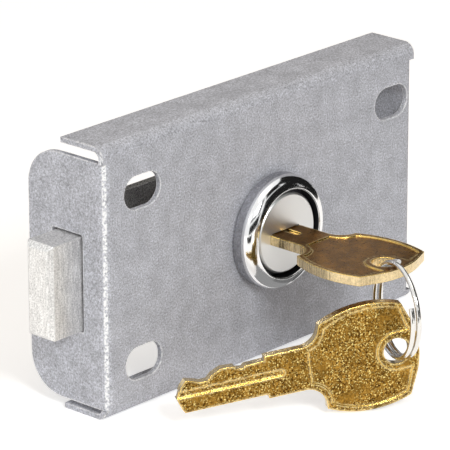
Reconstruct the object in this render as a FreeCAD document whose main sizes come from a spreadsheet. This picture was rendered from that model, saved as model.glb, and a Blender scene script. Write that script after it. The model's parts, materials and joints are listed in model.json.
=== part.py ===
"""Key cabinet lock: folded case, sliding bolt, cylinder, two keys and a split ring.

Millimetres. The origin is where the cylinder's axis meets the case's front face.
+X runs along the case away from the bolt, +Y into the case and +Z up. The key lies
level while the bolt is out, and a quarter turn to the right draws the bolt in.
"""
import FreeCAD, Part
import math
import os
from types import SimpleNamespace

import Sketcher
from FreeCAD import Placement, Rotation, Vector

SIZES = [
    # folded case
    ("case_length", 93.2, "outside length over the side flanges"),
    ("case_height", 57.15, "outside height over the top and bottom flanges"),
    ("case_gauge", 1.2, "thickness of the folded sheet"),
    ("flange_depth", 11.6, "depth of the top and bottom flanges"),
    ("flange_bend", 2.5, "outside bend radius of the top and bottom flanges"),
    ("flange_overhang", 0.3, "top and bottom flanges past the side flanges"),
    ("side_depth", 21.0, "depth of the side flanges"),
    ("side_height", 51.6, "height of the side flanges"),
    ("side_bend", 1.9, "outside bend radius of the side flanges"),
    ("side_corner", 8.0, "rounded back corners of the side flanges"),
    ("left_reach", 48.45, "cylinder axis to the bolt end of the case"),
    ("foot_reach", 27.9, "cylinder axis to the underside of the case"),
    # screw slots
    ("slot_pitch_long", 75.5, "between slots along the case"),
    ("slot_pitch_high", 35.9, "between slots up the case"),
    ("slot_length", 10.3, "screw slot, end to end"),
    ("slot_width", 6.9, "screw slot, across"),
    # bolt
    ("bolt_projection", 8.8, "bolt past the side flange when locked"),
    ("bolt_travel", 10.0, "stroke of the bolt"),
    ("bolt_height", 19.9, "bolt block, up the case"),
    ("bolt_thickness", 7.0, "bolt block, into the case"),
    ("bolt_centre", -0.35, "middle of the bolt block above the cylinder axis"),
    ("bolt_tail", 16.45, "bolt block inside the case, from the flange's outer face"),
    ("bolt_edge", 1.0, "chamfer on the bolt block's long edges"),
    ("bolt_play", 0.3, "play round the bolt block in its opening"),
    ("opening_back", 1.2, "opening behind the bolt block"),
    ("opening_corner", 0.6, "corner radius of the opening"),
    # slide plate
    ("slide_front", 13.5, "front face of the slide plate"),
    ("slide_gauge", 2.0, "thickness of the slide plate"),
    ("slide_height", 24.8, "height of the slide plate"),
    ("slide_corner", 1.5, "rounded corners of the slide plate"),
    ("end_gap", 0.4, "slide plate to a side flange at the end of its stroke"),
    ("tip_window", 3.6, "half height of the window for the key's tip"),
    ("window_corner", 0.8, "corner radius of that window"),
    ("rivet_radius", 1.6, "bolt rivet shank"),
    ("rivet_depth", 4.0, "bolt rivet into the bolt block"),
    ("rivet_head", 2.8, "bolt rivet head radius"),
    ("rivet_top", 1.5, "flat top of a bolt rivet's head, radius"),
    ("rivet_rim", 0.35, "straight edge of a bolt rivet's head"),
    ("rivet_crown", 1.1, "bolt rivet head height"),
    ("rivet_pitch", 7.4, "between the bolt rivets"),
    ("rivet_set", 4.2, "bolt block's inner end to the nearer rivet"),
    # guide posts
    ("post_gap", 1.0, "drawn-in bolt block to the post beside it"),
    ("post_inset", 18.05, "other post to the right flange's outer face"),
    ("post_radius", 2.5, "guide post body"),
    ("post_neck", 1.9, "guide post where the slide runs on it"),
    ("post_play", 0.2, "play round the neck in its slot"),
    ("post_stub", 0.5, "guide post behind its clip"),
    ("slide_float", 0.15, "play of the slide on each side"),
    ("washer_radius", 4.2, "guide washer"),
    ("washer_gauge", 0.6, "guide washer thickness"),
    ("clip_radius", 3.3, "guide clip"),
    ("clip_gauge", 0.6, "guide clip thickness"),
    ("clip_groove", 0.5, "depth of the clip's groove"),
    ("clip_mouth", 1.6, "open side of a clip"),
    # cylinder housing
    ("head_radius", 12.1, "chromed head, outside"),
    ("head_height", 5.2, "chromed head in front of the case"),
    ("head_dome", 2.2, "radius that the bands of the head's shoulder follow"),
    ("head_foot", 0.8, "chamfer where the head meets the case"),
    ("rim_radius", 9.3, "inner edge of the head's rim"),
    ("well_floor", 2.7, "floor of the head's well in front of the case"),
    ("barrel_radius", 9.0, "barrel behind the head"),
    ("barrel_flat", 8.2, "cylinder axis to the barrel's flats"),
    ("barrel_end", 9.6, "rear face of the barrel"),
    ("barrel_play", 0.1, "play of the barrel in the case"),
    ("bore_radius", 6.48, "bore for the plug"),
    ("broach_width", 6.4, "tumbler grooves in the bore"),
    ("broach_radius", 7.5, "bottom of the tumbler grooves"),
    # nut and washer
    ("nut_flats", 22.0, "hexagon nut across its flats"),
    ("nut_height", 3.0, "hexagon nut thickness"),
    ("lock_washer_radius", 11.2, "washer under the nut"),
    ("lock_washer_gauge", 0.8, "thickness of the washer under the nut"),
    # plug
    ("plug_radius", 6.4, "plug in the bore"),
    ("face_radius", 8.5, "plug's face disc"),
    ("face_front", 4.5, "front of the face disc in front of the case"),
    ("face_gap", 0.1, "face disc to the floor of the well"),
    ("face_edge", 0.4, "chamfer round the face disc"),
    ("keyway_play", 0.2, "play of the blade in the keyway"),
    ("tail_radius", 5.2, "plug's tail"),
    ("tail_flat", 4.4, "cylinder axis to the tail's flats"),
    ("tail_stub", 0.15, "tail behind its retaining ring"),
    ("drive_play", 0.05, "play of a driven piece on the tail"),
    # tumblers
    ("tumbler_first", -1.0, "first tumbler into the case"),
    ("tumbler_pitch", 2.3, "from one tumbler to the next"),
    ("tumbler_gauge", 1.0, "tumbler thickness"),
    ("tumbler_half", 3.0, "half width of a tumbler"),
    ("tumbler_play", 0.06, "play of a tumbler in the plug"),
    ("ear_reach", 5.0, "cylinder axis to the end of a tumbler's ear"),
    ("ear_width", 1.2, "tumbler ear, along the tumbler"),
    ("spring_radius", 0.6, "tumbler spring, outside"),
    ("spring_length", 3.0, "tumbler spring between ear and pocket"),
    # stop washer, cam and drive pin
    ("stop_gap", 0.15, "barrel to the stop washer"),
    ("stop_gauge", 0.8, "stop washer thickness"),
    ("stop_radius", 8.8, "stop washer"),
    ("stop_root", 6.9, "bottom of the stop washer's notch"),
    ("stop_pin_reach", 7.8, "cylinder axis to the stop pin"),
    ("stop_pin_radius", 0.75, "stop pin"),
    ("stop_pin_depth", 3.0, "stop pin into the barrel"),
    ("stop_spare", 1.0, "notch past the stop pin at each end, degrees"),
    ("cam_gauge", 1.6, "cam thickness"),
    ("cam_radius", 7.4, "round part of the cam"),
    ("cam_boss", 2.6, "cam round its pin"),
    ("pin_radius", 1.25, "drive pin"),
    ("pin_play", 0.35, "drive pin to each side of its slot"),
    ("pin_rear", 0.8, "drive pin behind the slide plate"),
    ("circlip_gauge", 0.6, "retaining ring thickness"),
    ("circlip_radius", 5.7, "retaining ring"),
    ("circlip_groove", 0.45, "depth of the retaining ring's groove"),
    # keys
    ("key_gauge", 2.0, "key thickness"),
    ("key_drop", 0.2, "middle of the key below the cylinder axis"),
    ("key_shift", 4.3, "cylinder axis to the blade's straight edge"),
    ("blade_length", 18.5, "stop to tip"),
    ("blade_height", 7.7, "blade at its highest"),
    ("stop_step", 0.9, "stop below the blade's straight edge"),
    ("neck_top", 8.2, "straight edge to the top of the neck"),
    ("neck_length", 8.0, "stop to the start of the bow"),
    ("bow_end", 31.7, "stop to the end of the bow"),
    ("bow_middle", 3.1, "middle of the bow above the straight edge"),
    ("bow_half", 11.3, "half width of the bow"),
    ("bow_widest", 11.2, "widest part of the bow to its end"),
    ("shoulder_on", 3.6, "start of the bow to its shoulder"),
    ("shoulder_in", 2.3, "shoulder inside the bow's half width"),
    ("hollow_back", 1.1, "middle of the hollow side ahead of the shoulder"),
    ("hollow_out", 1.3, "middle of the hollow side outside the neck"),
    ("corner_back", 2.7, "near side of the bow's cut corner to its end"),
    ("corner_in", 1.4, "near side of the cut corner inside the bow's half width"),
    ("cut_back", 1.2, "far side of the cut corner to the bow's end"),
    ("cut_in", 5.1, "far side of the cut corner inside the bow's half width"),
    ("bow_rim", 1.0, "raised rim round the bow"),
    ("bow_sink", 0.25, "bow's panel below its rim"),
    ("bow_hole_at", 27.0, "stop to the middle of the hole"),
    ("bow_hole", 2.7, "hole radius"),
    ("bow_land", 4.0, "half width of the raised land round the hole"),
    ("groove_width", 1.3, "milled groove in the blade"),
    ("groove_sink", 0.45, "depth of the milled groove"),
    ("groove_above", 3.3, "straight edge to the near side of the groove"),
    ("groove_end", 3.7, "stop to the end of the groove"),
    # split ring, and the key that hangs on it
    ("ring_radius", 9.55, "split ring, to the middle of its wire"),
    ("ring_wire", 0.9, "split ring wire, over its corners"),
    ("ring_rise", 1.32, "split ring, from one turn to the next"),
    ("ring_heading", 65.8, "ring's plane from +X, degrees"),
    ("ring_hang", 46.0, "ring's middle below the key in the lock, degrees"),
    ("ring_start", 158.0, "where the ring's wire begins, degrees"),
    ("spare_hang", 272.0, "hanging key's place round the ring, degrees"),
    ("spare_lift", 1.1, "middle of the hanging key's hole above the wire"),
    ("spare_heading", -32.0, "hanging key from +X, degrees"),
    ("spare_tilt", 7.0, "hanging key's bow above its tip, degrees"),
]
TUMBLERS = 5
SHOULDER_BANDS = 3
WIRE_SIDES = 8

# Bitting: distance ahead of the stop, and height above the blade's straight edge.
BITTING = [(0.5, 7.3), (4.0, 7.2), (4.6, 6.7), (5.8, 6.9), (6.2, 7.5), (8.9, 7.7), (10.9, 6.8),
           (11.9, 5.8), (13.4, 5.8), (14.0, 6.1), (16.3, 6.8), (17.5, 5.4)]
TIP = [(18.5, 3.2), (17.7, 0.9), (17.2, 0.0)]

doc = FreeCAD.newDocument("key_cabinet_lock")
sheet = doc.addObject("Spreadsheet::Sheet", "sizes")
for row, (alias, value, meaning) in enumerate(SIZES, start=1):
    sheet.set(f"A{row}", meaning)
    sheet.set(f"B{row}", str(value))
    sheet.setAlias(f"B{row}", alias)
doc.recompute()


class Size:
    """A length or angle, with the sheet expression that it comes from."""

    def __init__(self, value, text=None):
        self.value = float(value)
        self.text = text or repr(float(value))

    def joined(self, sign, other, value):
        return Size(value, f"({self.text} {sign} {other.text})")

    def __add__(self, other):
        other = as_size(other)
        return self.joined("+", other, self.value + other.value)

    def __sub__(self, other):
        other = as_size(other)
        return self.joined("-", other, self.value - other.value)

    def __mul__(self, other):
        other = as_size(other)
        return self.joined("*", other, self.value * other.value)

    def __truediv__(self, other):
        other = as_size(other)
        return self.joined("/", other, self.value / other.value)

    def __neg__(self):
        return Size(-self.value, f"(0 - {self.text})")

    def __radd__(self, other):
        return as_size(other) + self

    def __rsub__(self, other):
        return as_size(other) - self

    def __rmul__(self, other):
        return as_size(other) * self


def as_size(number):
    return number if isinstance(number, Size) else Size(number)


def side_of(longest, other):
    """Third side of a right triangle, from its longest side and another one."""
    square = longest * longest - other * other
    return Size(math.sqrt(square.value), f"sqrt({square.text})")


s = SimpleNamespace(**{alias: Size(sheet.get(alias), f"sizes.{alias}") for alias, _, _ in SIZES})


# Places that several pieces share

left = -s.left_reach
right = left + s.case_length
foot = -s.foot_reach
top = foot + s.case_height
side_low = -(s.side_height / 2)
side_high = s.side_height / 2

slide_rear = s.slide_front + s.slide_gauge
slide_left = left + s.case_gauge + s.end_gap
slide_right = right - s.case_gauge - s.bolt_travel - s.end_gap
bolt_front = s.slide_front - s.bolt_thickness
bolt_low = s.bolt_centre - s.bolt_height / 2
bolt_high = s.bolt_centre + s.bolt_height / 2
rivet_first = left + s.bolt_tail - s.rivet_set
rivet_second = rivet_first - s.rivet_pitch

pin_reach = s.bolt_travel * (1 / math.sqrt(2))
pin_side = s.bolt_travel / 2

well_front = -s.well_floor
plug_front = -s.well_floor - s.face_gap
stop_front = s.barrel_end + s.stop_gap
cam_front = stop_front + s.stop_gauge
circlip_front = cam_front + s.cam_gauge + s.drive_play
tail_end = circlip_front + s.circlip_gauge + s.tail_stub

post_left = left + s.bolt_tail + s.bolt_travel + s.post_gap + s.post_radius
post_right = right - s.post_inset
shoulder = s.slide_front - s.slide_float
guide_washer_front = slide_rear + s.slide_float
clip_front = guide_washer_front + s.washer_gauge
post_end = clip_front + s.clip_gauge + s.post_stub


# Sketch outlines: corners are (across, up), or (across, up, radius) where rounded

def rounded(*corners):
    """Closed outline whose rounded corners are square ones with a radius."""
    edges = []
    count = len(corners)
    for i, corner in enumerate(corners):
        u, v = as_size(corner[0]), as_size(corner[1])
        if len(corner) == 2:
            edges.append(((u, v), None))
            continue
        radius = as_size(corner[2])
        before, after = corners[i - 1], corners[(i + 1) % count]
        step_in = heading(before, corner)
        step_out = heading(corner, after)
        start = (u - radius * step_in[0], v - radius * step_in[1])
        end = (u + radius * step_out[0], v + radius * step_out[1])
        turn = step_in[0] * step_out[1] - step_in[1] * step_out[0]
        centre = (start[0] + radius * step_out[0], start[1] + radius * step_out[1])
        edges.append((start, (centre, radius, turn > 0)))
        edges.append((end, None))
    return edges


def heading(a, b):
    """Unit step along the axis that joins two corners of a square outline."""
    du = as_size(b[0]).value - as_size(a[0]).value
    dv = as_size(b[1]).value - as_size(a[1]).value
    if abs(du) > abs(dv):
        return (math.copysign(1, du), 0)
    return (0, math.copysign(1, dv))


def rectangle(u_low, u_high, v_low, v_high, radius=None):
    corners = [(u_low, v_low), (u_high, v_low), (u_high, v_high), (u_low, v_high)]
    if radius is not None:
        corners = [corner + (radius,) for corner in corners]
    return rounded(*corners)


def slot(u, v, length, width):
    """Round-ended slot along the first direction."""
    radius = width / 2
    flat = length / 2 - radius
    return [((u - flat, v - radius), None), ((u + flat, v - radius), ((u + flat, v), radius, True)),
            ((u + flat, v + radius), None), ((u - flat, v + radius), ((u - flat, v), radius, True))]


def double_d(radius, flat):
    """Circle with two flats, above and below."""
    side = side_of(radius, flat)
    middle = (Size(0), Size(0))
    return [((side, -flat), (middle, radius, True)), ((side, flat), None),
            ((-side, flat), (middle, radius, True)), ((-side, -flat), None)]


def circle(u, v, radius):
    return (as_size(u), as_size(v), as_size(radius))


def draw(sketch, outlines):
    """Draw the outlines, with each corner and radius tied to the sheet."""
    constraints = []
    ties = []

    def tie(kind, *args):
        ties.append((len(constraints), args[-1].text))
        constraints.append(Sketcher.Constraint(kind, *args[:-1], args[-1].value))

    def pin_down(geo, point, place, along="XY"):
        for direction in along:
            tie("Distance" + direction, -1, 1, geo, point, place["XY".index(direction)])

    for outline in outlines:
        if isinstance(outline, tuple):
            u, v, radius = outline
            geo = sketch.addGeometry(Part.Circle(Vector(u.value, v.value, 0), Vector(0, 0, 1), radius.value))
            pin_down(geo, 3, (u, v))
            tie("Radius", geo, radius)
            continue
        placed = []
        count = len(outline)
        for i, (start, bend) in enumerate(outline):
            end = outline[(i + 1) % count][0]
            a = Vector(start[0].value, start[1].value, 0)
            b = Vector(end[0].value, end[1].value, 0)
            if (a - b).Length < 1e-6:
                continue
            if bend is None:
                placed.append((sketch.addGeometry(Part.LineSegment(a, b)), 1, 2, start, None))
                continue
            centre, radius, anticlockwise = bend
            middle = Vector(centre[0].value, centre[1].value, 0)
            angles = [math.atan2(p.y - middle.y, p.x - middle.x) for p in (a, b)]
            leaving = "X" if abs(math.sin(angles[1])) > abs(math.cos(angles[1])) else "Y"
            ends = (1, 2)
            if not anticlockwise:
                angles.reverse()
                ends = (2, 1)
            if angles[1] <= angles[0]:
                angles[1] += 2 * math.pi
            bow = Part.ArcOfCircle(Part.Circle(middle, Vector(0, 0, 1), radius.value), *angles)
            geo = sketch.addGeometry(bow)
            placed.append((geo, *ends, start, leaving))
            pin_down(geo, 3, centre)
        for i, (geo, begin, finish, start, leaving) in enumerate(placed):
            following = placed[(i + 1) % len(placed)]
            constraints.append(Sketcher.Constraint("Coincident", geo, finish, following[0], following[1]))
            pin_down(geo, begin, start, placed[i - 1][4] or "XY")
    sketch.addConstraint(constraints)
    for index, text in ties:
        sketch.setExpression(f"Constraints[{index}]", text)


def new_body(name):
    body = doc.addObject("PartDesign::Body", name)
    body.Label = name
    return body


def new_sketch(body, name, plane, offset, outlines):
    sketch = body.newObject("Sketcher::SketchObject", name)
    support = [item for item in body.Origin.OriginFeatures if item.Role == plane][0]
    sketch.AttachmentSupport = (support, [""])
    sketch.MapMode = "FlatFace"
    sketch.setExpression("AttachmentOffset.Base.z", offset.text)
    draw(sketch, outlines)
    return sketch


def pad(body, name, plane, start, end, *outlines):
    """Solid between two places on the axis that the plane faces."""
    start, end = as_size(start), as_size(end)
    offset = -end if plane == "XZ_Plane" else start
    sketch = new_sketch(body, name + "_sketch", plane, offset, outlines)
    feature = body.newObject("PartDesign::Pad", name)
    feature.Profile = sketch
    feature.setExpression("Length", (end - start).text)
    return feature


def pocket(body, name, plane, start, end, *outlines):
    """Hollow between two places on the axis that the plane faces."""
    start, end = as_size(start), as_size(end)
    offset = -start if plane == "XZ_Plane" else end
    before = finished_volume(body)
    sketch = new_sketch(body, name + "_sketch", plane, offset, outlines)
    feature = body.newObject("PartDesign::Pocket", name)
    feature.Profile = sketch
    feature.setExpression("Length", (end - start).text)
    if not finished_volume(body) < before:
        raise RuntimeError(f"{name} cuts nothing")
    return feature


def turned(name, *outlines):
    """Body turned about the Y axis: outlines are (radius, place along the axis)."""
    body = new_body(name)
    sketch = new_sketch(body, name + "_profile", "XY_Plane", Size(0), outlines)
    feature = body.newObject("PartDesign::Revolution", name + "_turning")
    feature.Profile = sketch
    feature.ReferenceAxis = (sketch, ["V_Axis"])
    feature.Angle = 360
    return body


def finished_volume(body):
    doc.recompute()
    return body.Shape.Volume


def dress(body, kind, name, prop, size, chosen):
    """Fillet or chamfer on the edges that pass a test."""
    doc.recompute()
    base = body.Tip
    names = [f"Edge{number}" for number, edge in enumerate(base.Shape.Edges, start=1) if chosen(edge)]
    print(f"{name}: {len(names)} edges")
    feature = body.newObject(kind, name)
    feature.Base = (base, names)
    feature.setExpression(prop, size.text)
    body.Tip = feature


def near(a, b):
    return abs(a - as_size(b).value) < 1e-4


def group(name, members):
    """Like pieces that share one node."""
    item = doc.addObject("Part::Compound", name)
    item.Label = name
    item.Links = members
    return item


# Case: U-shaped top, front and bottom, with a flange folded back at each end

def make_case():
    case = new_body("case")
    inner_bend = s.flange_bend - s.case_gauge
    pad(case, "channel", "YZ_Plane", left - s.flange_overhang, right + s.flange_overhang,
        rounded((s.flange_depth, foot), (0, foot, s.flange_bend), (0, top, s.flange_bend),
                (s.flange_depth, top), (s.flange_depth, top - s.case_gauge),
                (s.case_gauge, top - s.case_gauge, inner_bend),
                (s.case_gauge, foot + s.case_gauge, inner_bend),
                (s.flange_depth, foot + s.case_gauge)))
    left_fold = left + s.side_bend
    right_fold = right - s.side_bend
    past = s.flange_overhang + 1
    pocket(case, "corner_reliefs", "XZ_Plane", -1, s.case_gauge + 1,
           rectangle(left - past, left_fold, side_low, side_high),
           rectangle(right_fold, right + past, side_low, side_high))
    inner_side = s.side_bend - s.case_gauge
    pad(case, "side_flanges", "XY_Plane", side_low, side_high,
        rounded((left_fold, 0), (left_fold, s.case_gauge), (left + s.case_gauge, s.case_gauge, inner_side),
                (left + s.case_gauge, s.side_depth), (left, s.side_depth), (left, 0, s.side_bend)),
        rounded((right_fold, 0), (right, 0, s.side_bend), (right, s.side_depth),
                (right - s.case_gauge, s.side_depth), (right - s.case_gauge, s.case_gauge, inner_side),
                (right_fold, s.case_gauge)))
    slots = []
    for along in (-1, 1):
        for up in (-1, 1):
            middle = (s.slot_pitch_long * (along / 2), s.slot_pitch_high * (up / 2))
            slots.append(slot(*middle, s.slot_length, s.slot_width))
    barrel_hole = double_d(s.barrel_radius + s.barrel_play, s.barrel_flat + s.barrel_play)
    pocket(case, "screw_slots", "XZ_Plane", -1, s.case_gauge + 1, barrel_hole, *slots)
    pocket(case, "bolt_opening", "YZ_Plane", left - 1, left + s.case_gauge + 1,
           rectangle(bolt_front - s.bolt_play, s.slide_front + s.opening_back,
                     bolt_low - s.bolt_play, bolt_high + s.bolt_play, s.opening_corner))
    dress(case, "PartDesign::Fillet", "back_corners", "Radius", s.side_corner,
          lambda edge: near(edge.Length, s.case_gauge) and all(
              near(p.Y, s.side_depth) and near(abs(p.Z), side_high) for p in edge.Vertexes))


# Bolt: a block riveted to the slide plate

def make_bolt():
    block = new_body("bolt_block")
    nose = left - s.bolt_projection
    tail = left + s.bolt_tail
    pad(block, "bolt_bar", "YZ_Plane", nose, tail,
        rectangle(bolt_front, s.slide_front, bolt_low, bolt_high))
    pocket(block, "rivet_holes", "XZ_Plane", s.slide_front - s.rivet_depth, s.slide_front + 1,
           circle(rivet_first, s.bolt_centre, s.rivet_radius),
           circle(rivet_second, s.bolt_centre, s.rivet_radius))
    dress(block, "PartDesign::Chamfer", "bolt_nose", "Size", s.bolt_edge,
          lambda edge: all(near(p.X, nose) for p in edge.Vertexes))

    plate = new_body("slide_plate")
    half = s.slide_height / 2
    neck_hole = 2 * (s.post_neck + s.post_play)
    run = s.bolt_travel / 2
    window = s.tip_window
    drive_half = s.pin_radius + s.pin_play
    drive_top = pin_reach + s.pin_radius + s.pin_play
    pad(plate, "slide_sheet", "XZ_Plane", s.slide_front, slide_rear,
        rectangle(slide_left, slide_right, -half, half, s.slide_corner),
        slot(post_left - run, Size(0), s.bolt_travel + neck_hole, neck_hole),
        slot(post_right - run, Size(0), s.bolt_travel + neck_hole, neck_hole),
        rounded((-s.bolt_travel - window, -window, s.window_corner), (window, -window, s.window_corner),
                (window, window, s.window_corner), (-pin_side + drive_half, window),
                (-pin_side + drive_half, drive_top, s.window_corner),
                (-pin_side - drive_half, drive_top, s.window_corner), (-pin_side - drive_half, window),
                (-s.bolt_travel - window, window, s.window_corner)),
        circle(rivet_first, s.bolt_centre, s.rivet_radius),
        circle(rivet_second, s.bolt_centre, s.rivet_radius))

    rivets = []
    for number, along in enumerate((rivet_first, rivet_second), start=1):
        rivet = turned(f"bolt_rivet_{number}", rounded(
            (0, s.slide_front - s.rivet_depth), (s.rivet_radius, s.slide_front - s.rivet_depth),
            (s.rivet_radius, slide_rear), (s.rivet_head, slide_rear),
            (s.rivet_head, slide_rear + s.rivet_rim), (s.rivet_top, slide_rear + s.rivet_crown),
            (0, slide_rear + s.rivet_crown)))
        place(rivet, along, 0, s.bolt_centre)
        rivets.append(rivet)
    group("bolt_rivets", rivets)


def place(item, x, y, z):
    for axis, amount in zip("xyz", (x, y, z)):
        item.setExpression(f"Placement.Base.{axis}", as_size(amount).text)


# Guide posts carry the slide plate, with a washer and a clip behind it

def make_guides():
    posts, washers, clips = [], [], []
    groove = s.post_neck - s.clip_groove
    clip_rear = clip_front + s.clip_gauge
    for number, along in enumerate((post_left, post_right), start=1):
        post = turned(f"guide_post_{number}", rounded(
            (0, s.case_gauge), (s.post_radius, s.case_gauge), (s.post_radius, shoulder),
            (s.post_neck, shoulder), (s.post_neck, clip_front), (groove, clip_front),
            (groove, clip_rear), (s.post_neck, clip_rear), (s.post_neck, post_end), (0, post_end)))
        washer = new_body(f"guide_washer_{number}")
        pad(washer, f"guide_disc_{number}", "XZ_Plane", guide_washer_front, clip_front,
            circle(0, 0, s.washer_radius), circle(0, 0, s.post_neck + s.drive_play))
        clip = new_body(f"guide_clip_{number}")
        pad(clip, f"clip_disc_{number}", "XZ_Plane", clip_front, clip_rear,
            circle(0, 0, s.clip_radius), circle(0, 0, groove))
        half_mouth = s.clip_mouth / 2
        pocket(clip, f"clip_mouth_{number}", "XZ_Plane", clip_front - 1, clip_rear + 1,
               rectangle(-half_mouth, half_mouth, 0, s.clip_radius + 1))
        for piece, members in ((post, posts), (washer, washers), (clip, clips)):
            place(piece, along, 0, 0)
            members.append(piece)
    group("guide_posts", posts)
    group("guide_washers", washers)
    group("guide_clips", clips)


# Cylinder housing: chromed head in front, barrel through the case

def make_housing():
    foot_radius = s.head_radius - s.head_foot
    bands = []
    for i in range(SHOULDER_BANDS + 1):
        angle = math.pi / 2 * i / SHOULDER_BANDS
        bands.append((s.head_radius - s.head_dome * (1 - math.sin(angle)),
                      -s.head_height + s.head_dome * (1 - math.cos(angle))))
    housing = turned("cylinder_housing", rounded(
        (s.bore_radius, well_front), (s.rim_radius, well_front), (s.rim_radius, -s.head_height),
        *bands, (s.head_radius, -s.head_foot), (foot_radius, 0),
        (s.barrel_radius, 0), (s.barrel_radius, s.barrel_end), (s.bore_radius, s.barrel_end)))
    beyond = s.barrel_radius + 1
    pocket(housing, "barrel_flats", "XZ_Plane", 0, s.barrel_end + 1,
           rectangle(-beyond, beyond, s.barrel_flat, beyond),
           rectangle(-beyond, beyond, -beyond, -s.barrel_flat))
    half = s.broach_width / 2
    depth = s.broach_radius
    pocket(housing, "level_broach", "XZ_Plane", well_front - 1, s.barrel_end + 1,
           rectangle(-depth, depth, -half, half))
    pocket(housing, "upright_broach", "XZ_Plane", well_front - 1, s.barrel_end + 1,
           rectangle(-half, half, -depth, depth))
    diagonal = s.stop_pin_reach * (1 / math.sqrt(2))
    pocket(housing, "stop_pin_hole", "XZ_Plane", s.barrel_end - s.stop_pin_depth, s.barrel_end + 1,
           circle(diagonal, -diagonal, s.stop_pin_radius))

    pin = new_body("stop_pin")
    pad(pin, "stop_pin_rod", "XZ_Plane", s.barrel_end - s.stop_pin_depth, cam_front - s.drive_play,
        circle(diagonal, -diagonal, s.stop_pin_radius))

    washer = new_body("lock_washer")
    nut_front = s.case_gauge + s.lock_washer_gauge
    hole = s.barrel_radius + s.barrel_play
    pad(washer, "lock_washer_disc", "XZ_Plane", s.case_gauge, nut_front,
        circle(0, 0, s.lock_washer_radius), circle(0, 0, hole))
    nut = new_body("cylinder_nut")
    corner = s.nut_flats * (1 / math.sqrt(3))
    corners = [(corner * math.cos(math.radians(60 * i)), corner * math.sin(math.radians(60 * i)))
               for i in range(6)]
    pad(nut, "nut_hexagon", "XZ_Plane", nut_front, nut_front + s.nut_height, rounded(*corners),
        circle(0, 0, s.barrel_radius + s.drive_play))


# Plug, its face disc, and the tumblers and springs in it

def keyway(play):
    """Outline of the key's slot, with this much play round the blade."""
    low = -s.key_drop - s.key_gauge / 2 - play
    high = -s.key_drop + s.key_gauge / 2 + play
    return rectangle(-s.key_shift - play, s.blade_height - s.key_shift + play, low, high)


def make_plug():
    groove = s.tail_radius - s.circlip_groove
    circlip_rear = circlip_front + s.circlip_gauge
    plug = turned("plug", rounded(
        (0, plug_front), (s.plug_radius, plug_front), (s.plug_radius, s.barrel_end + s.face_gap),
        (s.tail_radius, s.barrel_end + s.face_gap), (s.tail_radius, circlip_front),
        (groove, circlip_front), (groove, circlip_rear), (s.tail_radius, circlip_rear),
        (s.tail_radius, tail_end), (0, tail_end)))
    beyond = s.tail_radius + 1
    pocket(plug, "tail_flats", "XZ_Plane", s.barrel_end + s.face_gap, tail_end + 1,
           rectangle(-beyond, beyond, s.tail_flat, beyond),
           rectangle(-beyond, beyond, -beyond, -s.tail_flat))
    pocket(plug, "keyway", "XZ_Plane", plug_front - 1, tail_end + 1, keyway(s.keyway_play))
    half = s.tumbler_gauge / 2 + s.tumbler_play
    wide = s.tumbler_half + s.tumbler_play
    reach = s.plug_radius + 1
    seat = pocket(plug, "tumbler_seat", "XZ_Plane", s.tumbler_first - half, s.tumbler_first + half,
                  rectangle(-reach, reach, -wide, wide))
    spring_half = s.spring_radius + s.tumbler_play
    spring_seat = pocket(plug, "spring_seat", "XZ_Plane", s.tumbler_first - spring_half,
                         s.tumbler_first + spring_half,
                         rectangle(-s.ear_width - s.tumbler_play, s.spring_length + s.tumbler_play,
                                   s.tumbler_half - s.tumbler_play, s.ear_reach + s.tumbler_play))
    row = plug.newObject("PartDesign::LinearPattern", "tumbler_seats")
    row.Originals = [seat, spring_seat]
    row.Direction = ([item for item in plug.Origin.OriginFeatures if item.Role == "Y_Axis"][0], [""])
    row.Occurrences = TUMBLERS
    row.setExpression("Length", (s.tumbler_pitch * (TUMBLERS - 1)).text)
    plug.Tip = row

    disc = turned("plug_face", rounded(
        (0, -s.face_front), (s.face_radius - s.face_edge, -s.face_front),
        (s.face_radius, -s.face_front + s.face_edge), (s.face_radius, plug_front), (0, plug_front)))
    pocket(disc, "face_slot", "XZ_Plane", -s.face_front - 1, plug_front + 1, keyway(s.keyway_play))

    end = side_of(s.plug_radius, s.tumbler_half)
    middle = (Size(0), Size(0))
    for number in range(TUMBLERS):
        along = s.tumbler_first + s.tumbler_pitch * number
        tumbler = new_body(f"tumbler_{number + 1}")
        radius = s.plug_radius
        pad(tumbler, f"tumbler_sheet_{number + 1}", "XZ_Plane",
            along - s.tumbler_gauge / 2, along + s.tumbler_gauge / 2,
            [((end, -s.tumbler_half), (middle, radius, True)), ((end, s.tumbler_half), None),
             ((Size(0), s.tumbler_half), None), ((Size(0), s.ear_reach), None),
             ((-s.ear_width, s.ear_reach), None), ((-s.ear_width, s.tumbler_half), None),
             ((-end, s.tumbler_half), (middle, radius, True)), ((-end, -s.tumbler_half), None)],
            keyway(s.keyway_play / 2))
        spring = new_body(f"tumbler_spring_{number + 1}")
        spring_up = (s.tumbler_half + s.ear_reach) / 2
        pad(spring, f"spring_bar_{number + 1}", "YZ_Plane", 0, s.spring_length,
            rectangle(along - s.spring_radius, along + s.spring_radius,
                      spring_up - s.spring_radius, spring_up + s.spring_radius))


# Stop washer, cam, drive pin and retaining ring on the plug's tail

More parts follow.
